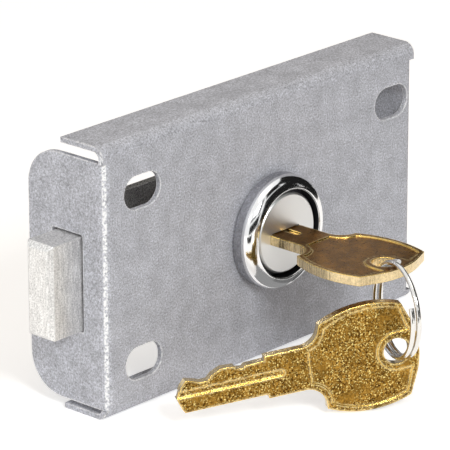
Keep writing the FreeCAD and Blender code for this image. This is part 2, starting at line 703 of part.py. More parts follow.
def make_cam():
    tail_hole = double_d(s.tail_radius + s.drive_play, s.tail_flat + s.drive_play)
    washer = new_body("stop_washer")
    pad(washer, "stop_disc", "XZ_Plane", stop_front, cam_front, circle(0, 0, s.stop_radius), tail_hole)
    half_pin = math.asin(s.stop_pin_radius.value / s.stop_pin_reach.value)
    half_angle = math.radians(45 + s.stop_spare.value) + half_pin
    across, up = math.cos(half_angle), math.sin(half_angle)
    outer = s.stop_radius * 1.2
    middle = (Size(0), Size(0))
    pocket(washer, "stop_notch", "XZ_Plane", stop_front - 1, cam_front + 1,
           [((s.stop_root * across, -s.stop_root * up), None), ((outer * across, -outer * up), None),
            ((outer * 1.2, Size(0)), None), ((outer * across, outer * up), None),
            ((s.stop_root * across, s.stop_root * up), (middle, s.stop_root, False))])

    cam = new_body("cam")
    cam_rear = cam_front + s.cam_gauge
    pad(cam, "cam_disc", "XZ_Plane", cam_front, cam_rear, circle(0, 0, s.cam_radius))
    pad(cam, "cam_boss", "XZ_Plane", cam_front, cam_rear, circle(-pin_side, pin_side, s.cam_boss))
    pocket(cam, "cam_holes", "XZ_Plane", cam_front - 1, cam_rear + 1, tail_hole,
           circle(-pin_side, pin_side, s.pin_radius))

    pin = new_body("drive_pin")
    pad(pin, "drive_pin_rod", "XZ_Plane", cam_front, slide_rear + s.pin_rear,
        circle(-pin_side, pin_side, s.pin_radius))

    ring = new_body("retaining_ring")
    circlip_rear = circlip_front + s.circlip_gauge
    inner = s.tail_radius - s.circlip_groove + s.drive_play
    pad(ring, "circlip_disc", "XZ_Plane", circlip_front, circlip_rear,
        circle(0, 0, s.circlip_radius), circle(0, 0, inner))
    half = s.clip_mouth
    pocket(ring, "circlip_mouth", "XZ_Plane", circlip_front - 1, circlip_rear + 1,
           rectangle(-half, half, -s.circlip_radius - 1, -inner / 2))


# Keys: flat brass, with the stop at the origin, the bow at +X and the cuts at +Y

def arc(a, b, c):
    return Part.Arc(Vector(*a, 0), Vector(*b, 0), Vector(*c, 0)).toShape()


def line(a, b):
    return Part.LineSegment(Vector(*a, 0), Vector(*b, 0)).toShape()


def bow_outline(inset):
    """Edges round the bow from the top of the neck to its underside, drawn in by inset."""
    mid = s.bow_middle.value
    half = s.bow_half.value - inset
    end = s.bow_end.value - inset
    start = s.neck_length.value + inset
    neck_up = s.neck_top.value - mid - inset
    neck_down = mid + s.stop_step.value - inset
    shoulder_at = start + s.shoulder_on.value
    hollow_at = shoulder_at - s.hollow_back.value
    widest_at = s.bow_end.value - s.bow_widest.value
    corner_at = s.bow_end.value - s.corner_back.value - inset / 2
    cut_at = end - s.cut_back.value
    cheek = half - s.shoulder_in.value
    corner = half - s.corner_in.value
    cut = half - s.cut_in.value
    edges = []
    for sign, neck in ((1, neck_up), (-1, neck_down)):
        hollow = neck + s.hollow_out.value
        ends = ((start, neck), (hollow_at, hollow), (shoulder_at, cheek), (widest_at, half),
                (corner_at, corner), (cut_at, cut))
        root, hollow_middle, shoulder, widest, near_corner, far_corner = [(u, mid + sign * v) for u, v in ends]
        edges.append([arc(root, hollow_middle, shoulder), arc(shoulder, widest, near_corner),
                      line(near_corner, far_corner)])
    across = arc((cut_at, mid + cut), (end, mid), (cut_at, mid - cut))
    return edges[0] + [across] + edges[1][::-1], (start, mid + neck_up), (start, mid - neck_down)


def make_key(name):
    half = s.key_gauge.value / 2
    neck_top, step = s.neck_top.value, s.stop_step.value
    scale = s.blade_length.value / TIP[0][0]
    rise = s.blade_height.value / max(up for _, up in BITTING)
    bow, neck_up, neck_down = bow_outline(0)
    cuts = [(-a * scale, b * rise) for a, b in BITTING + TIP]
    corners = [neck_down, (0, -step), (0, 0)] + cuts[::-1] + [(0, cuts[0][1]), (0, neck_top), neck_up]
    edges = [line(a, b) for a, b in zip(corners, corners[1:])]
    outline = Part.Wire(Part.__sortEdges__(edges + bow))
    blank = Part.Face(outline).extrude(Vector(0, 0, 2 * half)).translated(Vector(0, 0, -half))

    hole_at = Vector(s.bow_hole_at.value, s.bow_middle.value, -half - 1)
    hole = Part.makeCylinder(s.bow_hole.value, 2 * half + 2, hole_at)
    inner, inner_up, inner_down = bow_outline(s.bow_rim.value)
    panel = Part.Face(Part.Wire(Part.__sortEdges__(inner + [line(inner_down, inner_up)])))
    land_half = s.bow_land.value
    land = Part.makeBox(s.bow_end.value, 2 * land_half, 2 * half + 2,
                        Vector(s.bow_hole_at.value, s.bow_middle.value - land_half, -half - 1))
    land = land.fuse(Part.makeCylinder(land_half, 2 * half + 2, hole_at))
    sink = s.bow_sink.value
    cutters = [hole]
    for side in (1, -1):
        base = half - sink if side > 0 else -half - 1
        cutters.append(panel.extrude(Vector(0, 0, sink + 1 if side > 0 else 1 + sink)).translated(
            Vector(0, 0, base)).cut(land))
        cutters.append(milled_groove(side, half))
    key = blank.cut(Part.makeCompound(cutters)).removeSplitter()
    item = doc.addObject("Part::Feature", name)
    item.Label = name
    item.Shape = key.Solids[0]
    return item


def milled_groove(side, half):
    """Groove along the blade, round at the neck and open at the tip."""
    radius = s.groove_width.value / 2
    middle = s.groove_above.value + radius
    end = s.groove_end.value - radius
    base = half - s.groove_sink.value if side > 0 else -half - 1
    deep = s.groove_sink.value + 1
    bar = Part.makeBox(s.blade_length.value + 1 + end, 2 * radius, deep,
                       Vector(-s.blade_length.value - 1, middle - radius, base))
    return bar.fuse(Part.makeCylinder(radius, deep, Vector(end, middle, base)))


def wound_wire(radius, wire, turns, rise):
    """Eight-sided wire wound about the Z axis, as pairs of tangent arcs for each half turn."""
    pitch = rise / turns

    def at(angle):
        return Vector(radius * math.cos(angle), radius * math.sin(angle), pitch * angle / (2 * math.pi))

    def way(angle):
        return Vector(-radius * math.sin(angle), radius * math.cos(angle), pitch / (2 * math.pi)).normalize()

    arcs = []
    for half_turn in range(2 * turns):
        begin, end = math.pi * half_turn, math.pi * (half_turn + 1)
        chord = at(end) - at(begin)
        ways = way(begin) + way(end)
        spread = 2 * (1 - way(begin).dot(way(end)))
        reach = (math.sqrt(chord.dot(ways) ** 2 + spread * chord.dot(chord)) - chord.dot(ways)) / spread
        first_corner = at(begin) + way(begin) * reach
        last_corner = at(end) - way(end) * reach
        meeting = (first_corner + last_corner) / 2
        arcs.append(tangent_arc(at(begin), first_corner, meeting))
        arcs.append(tangent_arc(meeting, last_corner, at(end)))
    path = Part.Wire(arcs)
    points = path.discretize(Number=160 * turns)
    apart = [a.distanceToPoint(b) for i, a in enumerate(points) for b in points[i + 80:]]
    print(f"wound wire: least gap to itself {min(apart) - wire:.2f} mm")

    across, up = Vector(1, 0, 0), way(0).cross(Vector(1, 0, 0))
    corners = []
    for i in range(WIRE_SIDES + 1):
        angle = 2 * math.pi * (i + 0.5) / WIRE_SIDES
        corners.append(at(0) + (across * math.cos(angle) + up * math.sin(angle)) * (wire / 2))
    return path.makePipeShell([Part.makePolygon(corners)], True, False)


def tangent_arc(start, corner, end):
    """Arc between two points that leaves each along its line to the corner."""
    middle = (start + end) / 2
    lift = corner - middle
    half_chord = start.distanceToPoint(end) / 2
    turn = math.atan2(lift.Length, half_chord)
    crown = middle + lift.normalize() * (half_chord * math.tan(turn / 2))
    return Part.Arc(start, crown, end).toShape()


def make_keys_and_ring():
    lock_key = make_key("lock_key")
    stop = Vector(-s.key_shift.value, -s.face_front.value, -s.key_drop.value)
    lock_key.Placement = Placement(stop, Rotation(Vector(0, 0, 1), -90))
    hole = Vector(s.bow_hole_at.value, s.bow_middle.value, 0)

    turn = math.radians(s.ring_heading.value)
    inward = Vector(math.cos(turn), math.sin(turn), 0)
    upward = Vector(0, 0, 1)
    across = inward.cross(upward)
    rise = s.ring_rise.value

    def wires_at(degrees):
        """Ring's middle to its two wires, from level and next to the lock round by the top."""
        angle = math.radians(degrees)
        along = ((degrees - s.ring_start.value) % 360) / 360 - 0.5
        out = inward * math.cos(angle) + upward * math.sin(angle)
        return out * s.ring_radius.value + across * rise * along

    centre = lock_key.Placement.multVec(hole) - wires_at(s.ring_hang.value)
    ring = doc.addObject("Part::Feature", "split_ring")
    ring.Label = "split_ring"
    ring.Shape = wound_wire(s.ring_radius.value, s.ring_wire.value, 2, 2 * rise)
    upright = Rotation(Vector(0, 0, 1), s.ring_heading.value) * Rotation(Vector(1, 0, 0), 90)
    ring.Placement = Placement(centre - across * rise, upright * Rotation(Vector(0, 0, 1), s.ring_start.value))

    spare = make_key("spare_key")
    level = Rotation(Vector(0, 0, 1), s.spare_heading.value) * Rotation(Vector(0, 1, 0), -s.spare_tilt.value)
    turned_to = level * Rotation(Vector(1, 0, 0), 90)
    spare_hole = centre + wires_at(s.spare_hang.value) + upward * s.spare_lift.value
    spare.Placement = Placement(spare_hole - turned_to.multVec(hole), turned_to)


make_case()
make_bolt()
make_guides()
make_housing()
make_plug()
make_cam()
make_keys_and_ring()
doc.recompute()

NODES = (["case", "bolt_block", "slide_plate", "bolt_rivets", "guide_posts", "guide_washers", "guide_clips",
          "cylinder_housing", "lock_washer", "cylinder_nut", "stop_pin", "plug", "plug_face", "stop_washer",
          "cam", "drive_pin", "retaining_ring", "lock_key", "split_ring", "spare_key"]
         + [f"{piece}_{i + 1}" for piece in ("tumbler", "tumbler_spring") for i in range(TUMBLERS)])

for item in doc.Objects:
    if "Invalid" in item.State or "Error" in item.State:
        raise RuntimeError(f"{item.Name} failed: {item.State}")
os.makedirs("parts", exist_ok=True)
for name in NODES:
    shape = doc.getObject(name).Shape
    if shape.isNull() or not shape.isValid() or not shape.Solids:
        raise RuntimeError(f"{name} has no valid solid")
    shape.exportStep(f"parts/{name}.step")
    print(f"{name}: {len(shape.Solids)} solid(s), {shape.Volume:.1f} mm3")
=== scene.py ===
"""Key cabinet lock: zinc case, drawn bolt, chromed cylinder, two brass keys and a split ring.

Metres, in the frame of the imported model: the origin is where the cylinder's axis meets the
case's front face, +X runs away from the bolt, +Y into the case and +Z up.
"""

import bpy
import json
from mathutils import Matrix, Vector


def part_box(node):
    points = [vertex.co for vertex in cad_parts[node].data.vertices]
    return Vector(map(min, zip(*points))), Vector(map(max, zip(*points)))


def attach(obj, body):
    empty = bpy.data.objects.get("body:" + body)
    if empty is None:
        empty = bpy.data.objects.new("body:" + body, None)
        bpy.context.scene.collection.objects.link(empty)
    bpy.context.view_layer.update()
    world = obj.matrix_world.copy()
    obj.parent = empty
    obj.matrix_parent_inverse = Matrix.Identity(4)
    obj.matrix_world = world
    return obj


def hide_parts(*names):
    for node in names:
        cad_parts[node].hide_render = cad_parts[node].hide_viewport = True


bl_info = {
    "name": "Key Cabinet Lock",
    "version": (1, 0, 0),
    "blender": (4, 5, 0),
    "location": "View3D > Sidebar > Lock",
    "description": "Dresses the key cabinet lock and sets its studio",
    "category": "Object",
}

import json
import math

import bmesh
import bpy
from bpy.props import FloatProperty, FloatVectorProperty, PointerProperty
from mathutils import Euler, Matrix, Vector

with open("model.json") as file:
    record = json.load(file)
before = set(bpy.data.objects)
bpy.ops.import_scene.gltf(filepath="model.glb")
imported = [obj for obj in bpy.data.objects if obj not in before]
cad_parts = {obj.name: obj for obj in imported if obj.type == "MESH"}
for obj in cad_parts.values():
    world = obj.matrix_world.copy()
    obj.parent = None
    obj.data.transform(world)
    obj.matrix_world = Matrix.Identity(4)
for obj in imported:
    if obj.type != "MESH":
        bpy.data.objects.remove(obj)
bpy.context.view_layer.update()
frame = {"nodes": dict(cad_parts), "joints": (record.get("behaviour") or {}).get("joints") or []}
MM = 0.001


def joint_place(name):
    """Where a joint's axis passes, in metres."""
    return next(Vector(joint["pos_m"]) for joint in frame["joints"] if joint["name"] == name)


# Sizes and colours that a user would change

def length(name, description, millimetres):
    """Length given in millimetres."""
    return FloatProperty(name=name, description=description, default=millimetres * MM, unit="LENGTH",
                         min=0.0, precision=5)


def angle(name, description, degrees):
    """Angle given in degrees."""
    return FloatProperty(name=name, description=description, default=math.radians(degrees), subtype="ANGLE")


def number(name, description, default, least=0.0):
    """Count or share, without a unit."""
    return FloatProperty(name=name, description=description, default=default, min=least)


def tint(name, description, red, green, blue):
    """Colour picked as it shows on a screen, from 0 to 255."""
    levels = [(level / 255) ** 2.2 for level in (red, green, blue)]
    return FloatVectorProperty(name=name, description=description, default=levels, size=3, subtype="COLOR",
                               min=0.0, max=1.0)


class LockSizes(bpy.types.PropertyGroup):
    sheet_edge: length("Sheet Edge", "Rounding of the case's sheared edges", 0.12)
    notch_start: length("Notch Start", "Middle of the case to the notches at its corners", 24.9)
    notch_depth: length("Notch Depth", "Depth of the corner notches behind the case's front", 2.0)
    bolt_edge: length("Bolt Edge", "Rounding of the bolt block's edges", 0.18)
    plate_edge: length("Plate Edge", "Rounding of stamped steel edges", 0.1)
    washer_hole: number("Washer Hole", "Guide washer's hole as a share of its outside", 0.47)
    nut_edge: length("Nut Edge", "Rounding of the nut's edges", 0.2)
    face_edge: length("Face Edge", "Rounding of the plug face's edges", 0.06)
    key_edge: length("Key Edge", "Rounding of the keys' edges", 0.1)
    head_radius: length("Head Radius", "Outside of the chromed head", 12.1)
    head_height: length("Head Height", "Chromed head in front of the case", 5.2)
    head_dome: length("Head Dome", "Depth of the head's round shoulder", 2.4)
    head_tilt: angle("Head Tilt", "Slope of the shoulder where it leaves the rim", 14)
    head_foot: length("Head Foot", "Chamfer where the head meets the case", 0.8)
    rim_radius: length("Rim Radius", "Inner edge of the head's rim", 9.3)
    rim_round: length("Rim Round", "Round of the rim's inner edge", 0.3)
    well_floor: length("Well Floor", "Floor of the well in front of the case", 2.7)
    bore_radius: length("Bore Radius", "Bore for the plug", 6.48)
    barrel_radius: length("Barrel Radius", "Crest of the barrel's thread", 9.0)
    barrel_flat: length("Barrel Flat", "Cylinder axis to the barrel's flats", 8.2)
    barrel_end: length("Barrel End", "Rear face of the barrel", 9.6)
    thread_start: length("Thread Start", "Start of the thread behind the case's front", 1.4)
    thread_pitch: length("Thread Pitch", "From one ridge of the thread to the next", 0.8)
    thread_depth: length("Thread Depth", "Depth of the thread", 0.3)
    thread_flank: number("Thread Flank", "Share of the pitch in which a ridge falls to its root", 0.4)
    rivet_radius: length("Rivet Radius", "Bolt rivet head", 2.8)
    rivet_crown: length("Rivet Crown", "Height of a bolt rivet's head", 1.1)
    rivet_shank: number("Rivet Shank", "Rivet's shank as a share of its head", 0.5)
    rivet_sunk: length("Rivet Sunk", "Length of a rivet's shank inside the slide", 2.0)
    spring_radius: length("Spring Radius", "Tumbler spring, to the middle of its wire", 0.5)
    spring_wire: length("Spring Wire", "Tumbler spring wire", 0.2)
    spring_turns: number("Spring Turns", "Turns in a tumbler spring", 6.0, least=1.0)
    ring_radius: length("Ring Radius", "Split ring, to the middle of its wire", 9.475)
    ring_wire: length("Ring Wire", "Split ring wire", 1.05)
    ring_rise: length("Ring Rise", "Split ring, from one turn to the next", 1.32)
    ring_turns: number("Ring Turns", "Turns of the split ring", 1.78, least=1.0)
    ring_heading: angle("Ring Heading", "Ring's plane from +X", 65.8)
    ring_hang: angle("Ring Hang", "Ring's middle below the key in the lock", 46)
    ring_start: angle("Ring Start", "Where the ring's wire begins", 158)
    key_hole_along: length("Key Hole Along", "Stop to the middle of a key's hole", 27.0)
    key_hole_across: length("Key Hole Across", "Blade's straight edge to the middle of the hole", 3.1)
    spare_heading: angle("Spare Heading", "Hanging key from +X", -32)
    spare_tilt: angle("Spare Tilt", "Hanging key's bow above its tip", 7)


class LockColours(bpy.types.PropertyGroup):
    zinc: tint("Zinc Sheet", "Case", 190, 191, 198)
    bolt: tint("Bolt Steel", "Bolt block", 230, 229, 227)
    plated: tint("Plated Steel", "Slide, nut, washers, posts and cam", 196, 194, 190)
    # Also painted shade in the cylinder's well.
    black: tint("Blackened Steel", "Clips and retaining ring", 62, 62, 66)
    chrome: tint("Chrome", "Cylinder head", 236, 236, 238)
    # Darker copy of the chrome: painted shade on the head's upright side.
    side_chrome_painted_shade: tint("Side Chrome Painted Shade", "Upright side of the cylinder head", 172, 172, 175)
    nickel: tint("Satin Nickel", "Plug face", 246, 245, 241)
    casting: tint("Zinc Casting", "Plug", 190, 190, 192)
    brass: tint("Polished Brass", "Rims and edges of the keys", 234, 196, 108)
    sand_brass: tint("Sanded Brass", "Panels and blade of the hanging key", 148, 112, 50)
    handled_brass: tint("Handled Brass", "Panels and blade of the key in the lock", 152, 108, 46)
    milled: tint("Milled Brass", "Sawn and milled edges of the keys", 226, 204, 160)
    tumbler: tint("Tumbler Brass", "Tumblers", 214, 182, 108)
    ring: tint("Ring Nickel", "Split ring", 226, 223, 214)
    floor: tint("Floor", "Floor", 236, 236, 236)


# Nodes

def add(tree, kind, values=(), **settings):
    """New node with its settings, its plain values and its links."""
    item = tree.nodes.new(kind)
    for name, value in settings.items():
        setattr(item, name, value)
    for name, value in dict(values).items():
        socket = item.inputs[name]
        if isinstance(value, bpy.types.NodeSocket):
            tree.links.new(value, socket)
        else:
            socket.default_value = value
    return item


def bare_tree(owner):
    """Emptied node tree of a material or a world."""
    owner.use_nodes = True
    owner.node_tree.nodes.clear()
    return owner.node_tree


def maths(tree, operation, first, second):
    """Sum, product or the like of two values."""
    return add(tree, "ShaderNodeMath", {0: first, 1: second}, operation=operation).outputs[0]


def ranged(tree, value, start, end, level_at_start=0.0, level_at_end=1.0):
    """Level that runs between two levels while a value runs from start to end."""
    item = add(tree, "ShaderNodeMapRange", {"Value": value, "From Min": start, "From Max": end,
                                            "To Min": level_at_start, "To Max": level_at_end})
    return item.outputs["Result"]


def noise(tree, place, size, detail, roughness=0.5):
    """Noise with cells of a size."""
    item = add(tree, "ShaderNodeTexNoise", {"Vector": place, "Scale": maths(tree, "DIVIDE", 1.0, size),
                                            "Detail": detail, "Roughness": roughness})
    return item.outputs["Fac"]


def mixed_colour(tree, mask, colour, colour_on_mask):
    """One colour, and another where the mask is on."""
    item = add(tree, "ShaderNodeMix", {"Factor": mask, "A": colour, "B": colour_on_mask}, data_type="VECTOR")
    return item.outputs["Result"]


# Shader node groups that several finishes share

def new_effect(name, inputs, outputs):
    """Empty shader node group: inputs are (name, default), outputs are names."""
    group = bpy.data.node_groups.new(name, "ShaderNodeTree")
    for socket_name, default in inputs:
        kind = "NodeSocketVector" if isinstance(default, tuple) else "NodeSocketFloat"
        socket = group.interface.new_socket(socket_name, in_out="INPUT", socket_type=kind)
        socket.default_value = default
    for socket_name in outputs:
        group.interface.new_socket(socket_name, in_out="OUTPUT", socket_type="NodeSocketFloat")
    return group, group.nodes.new("NodeGroupInput").outputs, group.nodes.new("NodeGroupOutput").inputs


def object_place(group):
    """Where a point is on its piece."""
    return add(group, "ShaderNodeTexCoord").outputs["Object"]


def shade_between(group, mask, contrast):
    """Brightness round 1, as far either way as the contrast says."""
    centred = maths(group, "SUBTRACT", mask, 0.5)
    return maths(group, "ADD", maths(group, "MULTIPLY", centred, contrast), 1.0)


def make_grain():
    """Fine grain with broad clouds behind it."""
    group, given, made = new_effect("Grain", [
        ("Grain Size", 0.3 * MM), ("Contrast", 0.3), ("Cloud Size", 10 * MM), ("Cloud Contrast", 0.1)],
        ["Shade", "Height"])
    place = object_place(group)
    fine = noise(group, place, given["Grain Size"], detail=3.0, roughness=0.65)
    broad = noise(group, place, given["Cloud Size"], detail=4.0, roughness=0.55)
    fine_shade = shade_between(group, fine, given["Contrast"])
    broad_shade = shade_between(group, broad, given["Cloud Contrast"])
    group.links.new(maths(group, "MULTIPLY", fine_shade, broad_shade), made["Shade"])
    group.links.new(fine, made["Height"])
    return group


def make_brushing():
    """Streaks drawn out along one direction."""
    group, given, made = new_effect("Brushing", [
        ("Streak Size", 0.2 * MM), ("Stretch", (1.0, 1.0, 0.05)), ("Contrast", 0.3)], ["Shade", "Height"])
    drawn = add(group, "ShaderNodeVectorMath", {0: object_place(group), 1: given["Stretch"]},
                operation="MULTIPLY").outputs[0]
    streaks = noise(group, drawn, given["Streak Size"], detail=2.0, roughness=0.6)
    group.links.new(shade_between(group, streaks, given["Contrast"]), made["Shade"])
    group.links.new(streaks, made["Height"])
    return group


def make_edge_wear_and_highlight():
    """Where an edge is rubbed bright, partly wear and partly a painted edge highlight, broken up by a fine
    noise.
    """
    group, given, made = new_effect("Edge Wear And Highlight", [("Width", 0.3 * MM), ("Break Size", 0.6 * MM)], ["Mask"])
    true_normal = add(group, "ShaderNodeNewGeometry").outputs["Normal"]
    rounded = add(group, "ShaderNodeBevel", {"Radius": given["Width"]}, samples=6).outputs["Normal"]
    agreement = add(group, "ShaderNodeVectorMath", {0: rounded, 1: true_normal}, operation="DOT_PRODUCT")
    edge = ranged(group, agreement.outputs["Value"], start=0.998, end=0.93)
    breaks = noise(group, object_place(group), given["Break Size"], detail=3.0)
    kept = ranged(group, breaks, start=0.38, end=0.58, level_at_start=0.15)
    group.links.new(maths(group, "MULTIPLY", edge, kept), made["Mask"])
    return group


def make_bend_highlight():
    """Painted highlight: a broken bright line along the upright bends that face front-left or back-right."""
    group, given, made = new_effect("Bend Highlight", [("Break Size", 0.6 * MM)], ["Mask"])
    normal = add(group, "ShaderNodeTexCoord").outputs["Normal"]
    parts = add(group, "ShaderNodeSeparateXYZ", {0: normal}).outputs
    corner = ranged(group, maths(group, "MULTIPLY", parts["X"], parts["Y"]), start=0.42, end=0.475)
    breaks = noise(group, object_place(group), given["Break Size"], detail=3.0)
    kept = ranged(group, breaks, start=0.38, end=0.56)
    group.links.new(maths(group, "MULTIPLY", corner, kept), made["Mask"])
    return group


def make_specks():
    """Small specks standing out of the ground colour."""
    group, given, made = new_effect("Specks", [
        ("Speck Size", 0.4 * MM), ("Sparseness", 0.5), ("Softness", 0.1)], ["Mask"])
    spots = noise(group, object_place(group), given["Speck Size"], detail=3.0, roughness=0.6)
    top = maths(group, "ADD", given["Sparseness"], given["Softness"])
    group.links.new(ranged(group, spots, given["Sparseness"], top), made["Mask"])
    return group


def shared(name):
    """Effect by name, built the first time that a finish asks for it."""
    makers = {"Grain": make_grain, "Brushing": make_brushing, "Edge Wear And Highlight": make_edge_wear_and_highlight,
              "Bend Highlight": make_bend_highlight, "Specks": make_specks}
    return bpy.data.node_groups.get(name) or makers[name]()


# Finishes

# Colours of rubbed edges: partly wear, partly painted edge highlight; the steel white also paints the bend
# highlight.
WEAR_AND_HIGHLIGHT_STEEL = (1.0, 1.0, 1.0)
WEAR_AND_HIGHLIGHT_PLATE = (0.95, 0.95, 0.93)
WEAR_AND_HIGHLIGHT_NICKEL = (1.0, 1.0, 0.98)
WEAR_AND_HIGHLIGHT_BRASS = (1.0, 0.84, 0.44)
# Dark brown specks, and gold specks that are painted glints, for the sanded brass.
DARK_SPECK_BROWN = (0.08, 0.034, 0.005)
GLINT_GOLD = (1.0, 0.8, 0.3)


class Finish:
    """Material whose colour, roughness and bump pass through shared effects."""

    def __init__(self, name, colour, metallic):
        self.material = bpy.data.materials.new(name)
        self.tree = bare_tree(self.material)
        self.colour = tuple(colour)
        self.metallic = metallic
        self.shader = add(self.tree, "ShaderNodeBsdfPrincipled", {"Metallic": metallic})
        add(self.tree, "ShaderNodeOutputMaterial", {"Surface": self.shader.outputs["BSDF"]})
        self.shade = None

    def feed(self, name, value):
        """Link a value to one of the shader's inputs."""
        self.tree.links.new(value, self.shader.inputs[name])
        return self

    def effect(self, name, **values):
        """Outputs of a shared effect; its values are named with underscores for spaces."""
        group = add(self.tree, "ShaderNodeGroup", node_tree=shared(name))
        for key, value in values.items():
            group.inputs[key.replace("_", " ").title()].default_value = value
        return group.outputs

    def grain(self, grain_size, contrast, cloud_size, cloud_contrast):
        """Fine grain and clouds, with their sizes in millimetres."""
        return self.effect("Grain", grain_size=grain_size * MM, contrast=contrast, cloud_size=cloud_size * MM,
                           cloud_contrast=cloud_contrast)

    def brushing(self, streak_size, stretch, contrast):
        """Streaks up and down, with their width in millimetres."""
        return self.effect("Brushing", streak_size=streak_size * MM, stretch=(1.0, 1.0, stretch),
                           contrast=contrast)

    def wear_and_highlight(self, width, break_size):
        """Mask of the rubbed edges, partly wear and partly painted highlight, with its sizes in millimetres.
        """
        return self.effect("Edge Wear And Highlight", width=width * MM, break_size=break_size * MM)["Mask"]

    def specks(self, speck_size, sparseness, softness):
        """Mask of specks, with their size in millimetres."""
        spots = self.effect("Specks", speck_size=speck_size * MM, sparseness=sparseness, softness=softness)
        return spots["Mask"]

    def shaded(self, effect):
        """Multiply the colour by an effect's brightness."""
        shade = effect["Shade"]
        if self.shade is not None:
            shade = maths(self.tree, "MULTIPLY", self.shade, shade)
        self.shade = shade
        return self

    def coloured(self, *layers):
        """Base colour from the brightness, with each layer's colour where its mask is on."""
        base = add(self.tree, "ShaderNodeVectorMath", {0: self.colour, "Scale": self.shade},
                   operation="SCALE").outputs[0]
        for mask, colour in layers:
            base = mixed_colour(self.tree, mask, base, colour)
        return self.feed("Base Color", base)

    def less_metal(self, mask, level):
        """Less of a mirror where the mask is on."""
        metal = ranged(self.tree, mask, start=0.0, end=1.0, level_at_start=self.metallic, level_at_end=level)
        return self.feed("Metallic", metal)

    def surfaced(self, effect, smooth, rough, bump=None, depth=None):
        """Finished material: roughness and any bump, its depth in millimetres, from an effect's height."""
        height = effect["Height"]
        self.feed("Roughness", ranged(self.tree, height, start=0.3, end=0.7, level_at_start=smooth,
                                      level_at_end=rough))
        if bump:
            values = {"Height": height, "Strength": bump, "Distance": depth * MM}
            self.feed("Normal", add(self.tree, "ShaderNodeBump", values).outputs["Normal"])
        return self.material


def zinc_sheet(colours):
    """Finely grained plate: sheared edges rubbed bright, partly wear and partly painted highlight, and a
    painted highlight along its upright bends.
    """
    sheet = Finish("zinc_sheet", colours.zinc, metallic=0.3)
    grain = sheet.grain(0.36, contrast=2.4, cloud_size=4, cloud_contrast=0.6)
    bend_highlight = sheet.effect("Bend Highlight", break_size=0.5 * MM)["Mask"]
    # Painted highlight on the upright bends; on the sheared edges wear and painted highlight together.
    sheet.shaded(grain).coloured((sheet.wear_and_highlight(0.5, break_size=0.7), WEAR_AND_HIGHLIGHT_STEEL), (bend_highlight, WEAR_AND_HIGHLIGHT_STEEL))
    return sheet.surfaced(grain, smooth=0.56, rough=0.74, bump=0.5, depth=0.08)


def drawn_steel(colours):
    """Bright bolt, with fine streaks up and down."""
    steel = Finish("drawn_steel", colours.bolt, metallic=0.85)
    streaks = steel.brushing(0.35, stretch=0.12, contrast=0.8)
    grain = steel.grain(0.36, contrast=1.6, cloud_size=4, cloud_contrast=0.4)
    # Edges rubbed bright: partly wear, partly painted highlight.
    steel.shaded(streaks).shaded(grain).coloured((steel.wear_and_highlight(0.3, break_size=0.9), WEAR_AND_HIGHLIGHT_STEEL))
    return steel.surfaced(streaks, smooth=0.3, rough=0.46, bump=0.4, depth=0.06)


def plated_steel(colours):
    """Plated pieces of the mechanism."""
    steel = Finish("plated_steel", colours.plated, metallic=0.8)
    grain = steel.grain(0.4, contrast=0.5, cloud_size=5, cloud_contrast=0.3)
    # Edges rubbed bright: partly wear, partly painted highlight.
    steel.shaded(grain).coloured((steel.wear_and_highlight(0.2, break_size=0.6), WEAR_AND_HIGHLIGHT_PLATE))
    return steel.surfaced(grain, smooth=0.22, rough=0.36, bump=0.3, depth=0.04)


def black_steel_and_well_shade(colours):
    """Blackened spring steel, also laid in the well round the plug as painted shade."""
    steel = Finish("black_steel_and_well_shade", colours.black, metallic=0.85)
    grain = steel.grain(0.35, contrast=0.6, cloud_size=4, cloud_contrast=0.3)
    return steel.shaded(grain).coloured().surfaced(grain, smooth=0.34, rough=0.5)


def chrome(colours):
    """Bright chrome with the faintest waviness."""
    plating = Finish("chrome", colours.chrome, metallic=1.0)
    grain = plating.grain(0.9, contrast=0.12, cloud_size=5, cloud_contrast=0.1)
    plating.shaded(grain).coloured()
    return plating.surfaced(grain, smooth=0.05, rough=0.1, bump=0.3, depth=0.08)


def side_chrome_painted_shade(colours):
    """Side of the head: a darker, rougher copy of the chrome, the darkness painted shade."""
    plating = Finish("side_chrome_painted_shade", colours.side_chrome_painted_shade, metallic=1.0)
    grain = plating.grain(0.6, contrast=1.2, cloud_size=4, cloud_contrast=0.6)
    plating.shaded(grain).coloured()
    return plating.surfaced(grain, smooth=0.16, rough=0.3, bump=0.3, depth=0.05)


def satin_nickel(colours):
    """Plug face: satin, but glossy enough to mirror the key."""
    plating = Finish("satin_nickel", colours.nickel, metallic=1.0)
    grain = plating.grain(0.4, contrast=0.35, cloud_size=3, cloud_contrast=0.2)
    # Edges rubbed bright: partly wear, partly painted highlight.
    plating.shaded(grain).coloured((plating.wear_and_highlight(0.15, break_size=0.8), WEAR_AND_HIGHLIGHT_NICKEL))
    return plating.surfaced(grain, smooth=0.1, rough=0.18, bump=0.2, depth=0.03)


def zinc_casting(colours):
    """Die-cast plug."""
    casting = Finish("zinc_casting", colours.casting, metallic=0.9)
    grain = casting.grain(0.5, contrast=0.5, cloud_size=4, cloud_contrast=0.3)
    casting.shaded(grain).coloured()
    return casting.surfaced(grain, smooth=0.35, rough=0.5, bump=0.3, depth=0.06)


def tumbler_brass(colours):
    """Stamped tumblers."""
    brass = Finish("tumbler_brass", colours.tumbler, metallic=1.0)
    grain = brass.grain(0.4, contrast=0.5, cloud_size=2, cloud_contrast=0.3)
    return brass.shaded(grain).coloured().surfaced(grain, smooth=0.2, rough=0.34)


def polished_brass(colours):
    """Raised rims, lands and rounded edges of the keys."""
    brass = Finish("polished_brass", colours.brass, metallic=1.0)
    grain = brass.grain(0.6, contrast=1.3, cloud_size=3, cloud_contrast=0.5)
    brass.shaded(grain).coloured()
    return brass.surfaced(grain, smooth=0.1, rough=0.24, bump=0.5, depth=0.1)


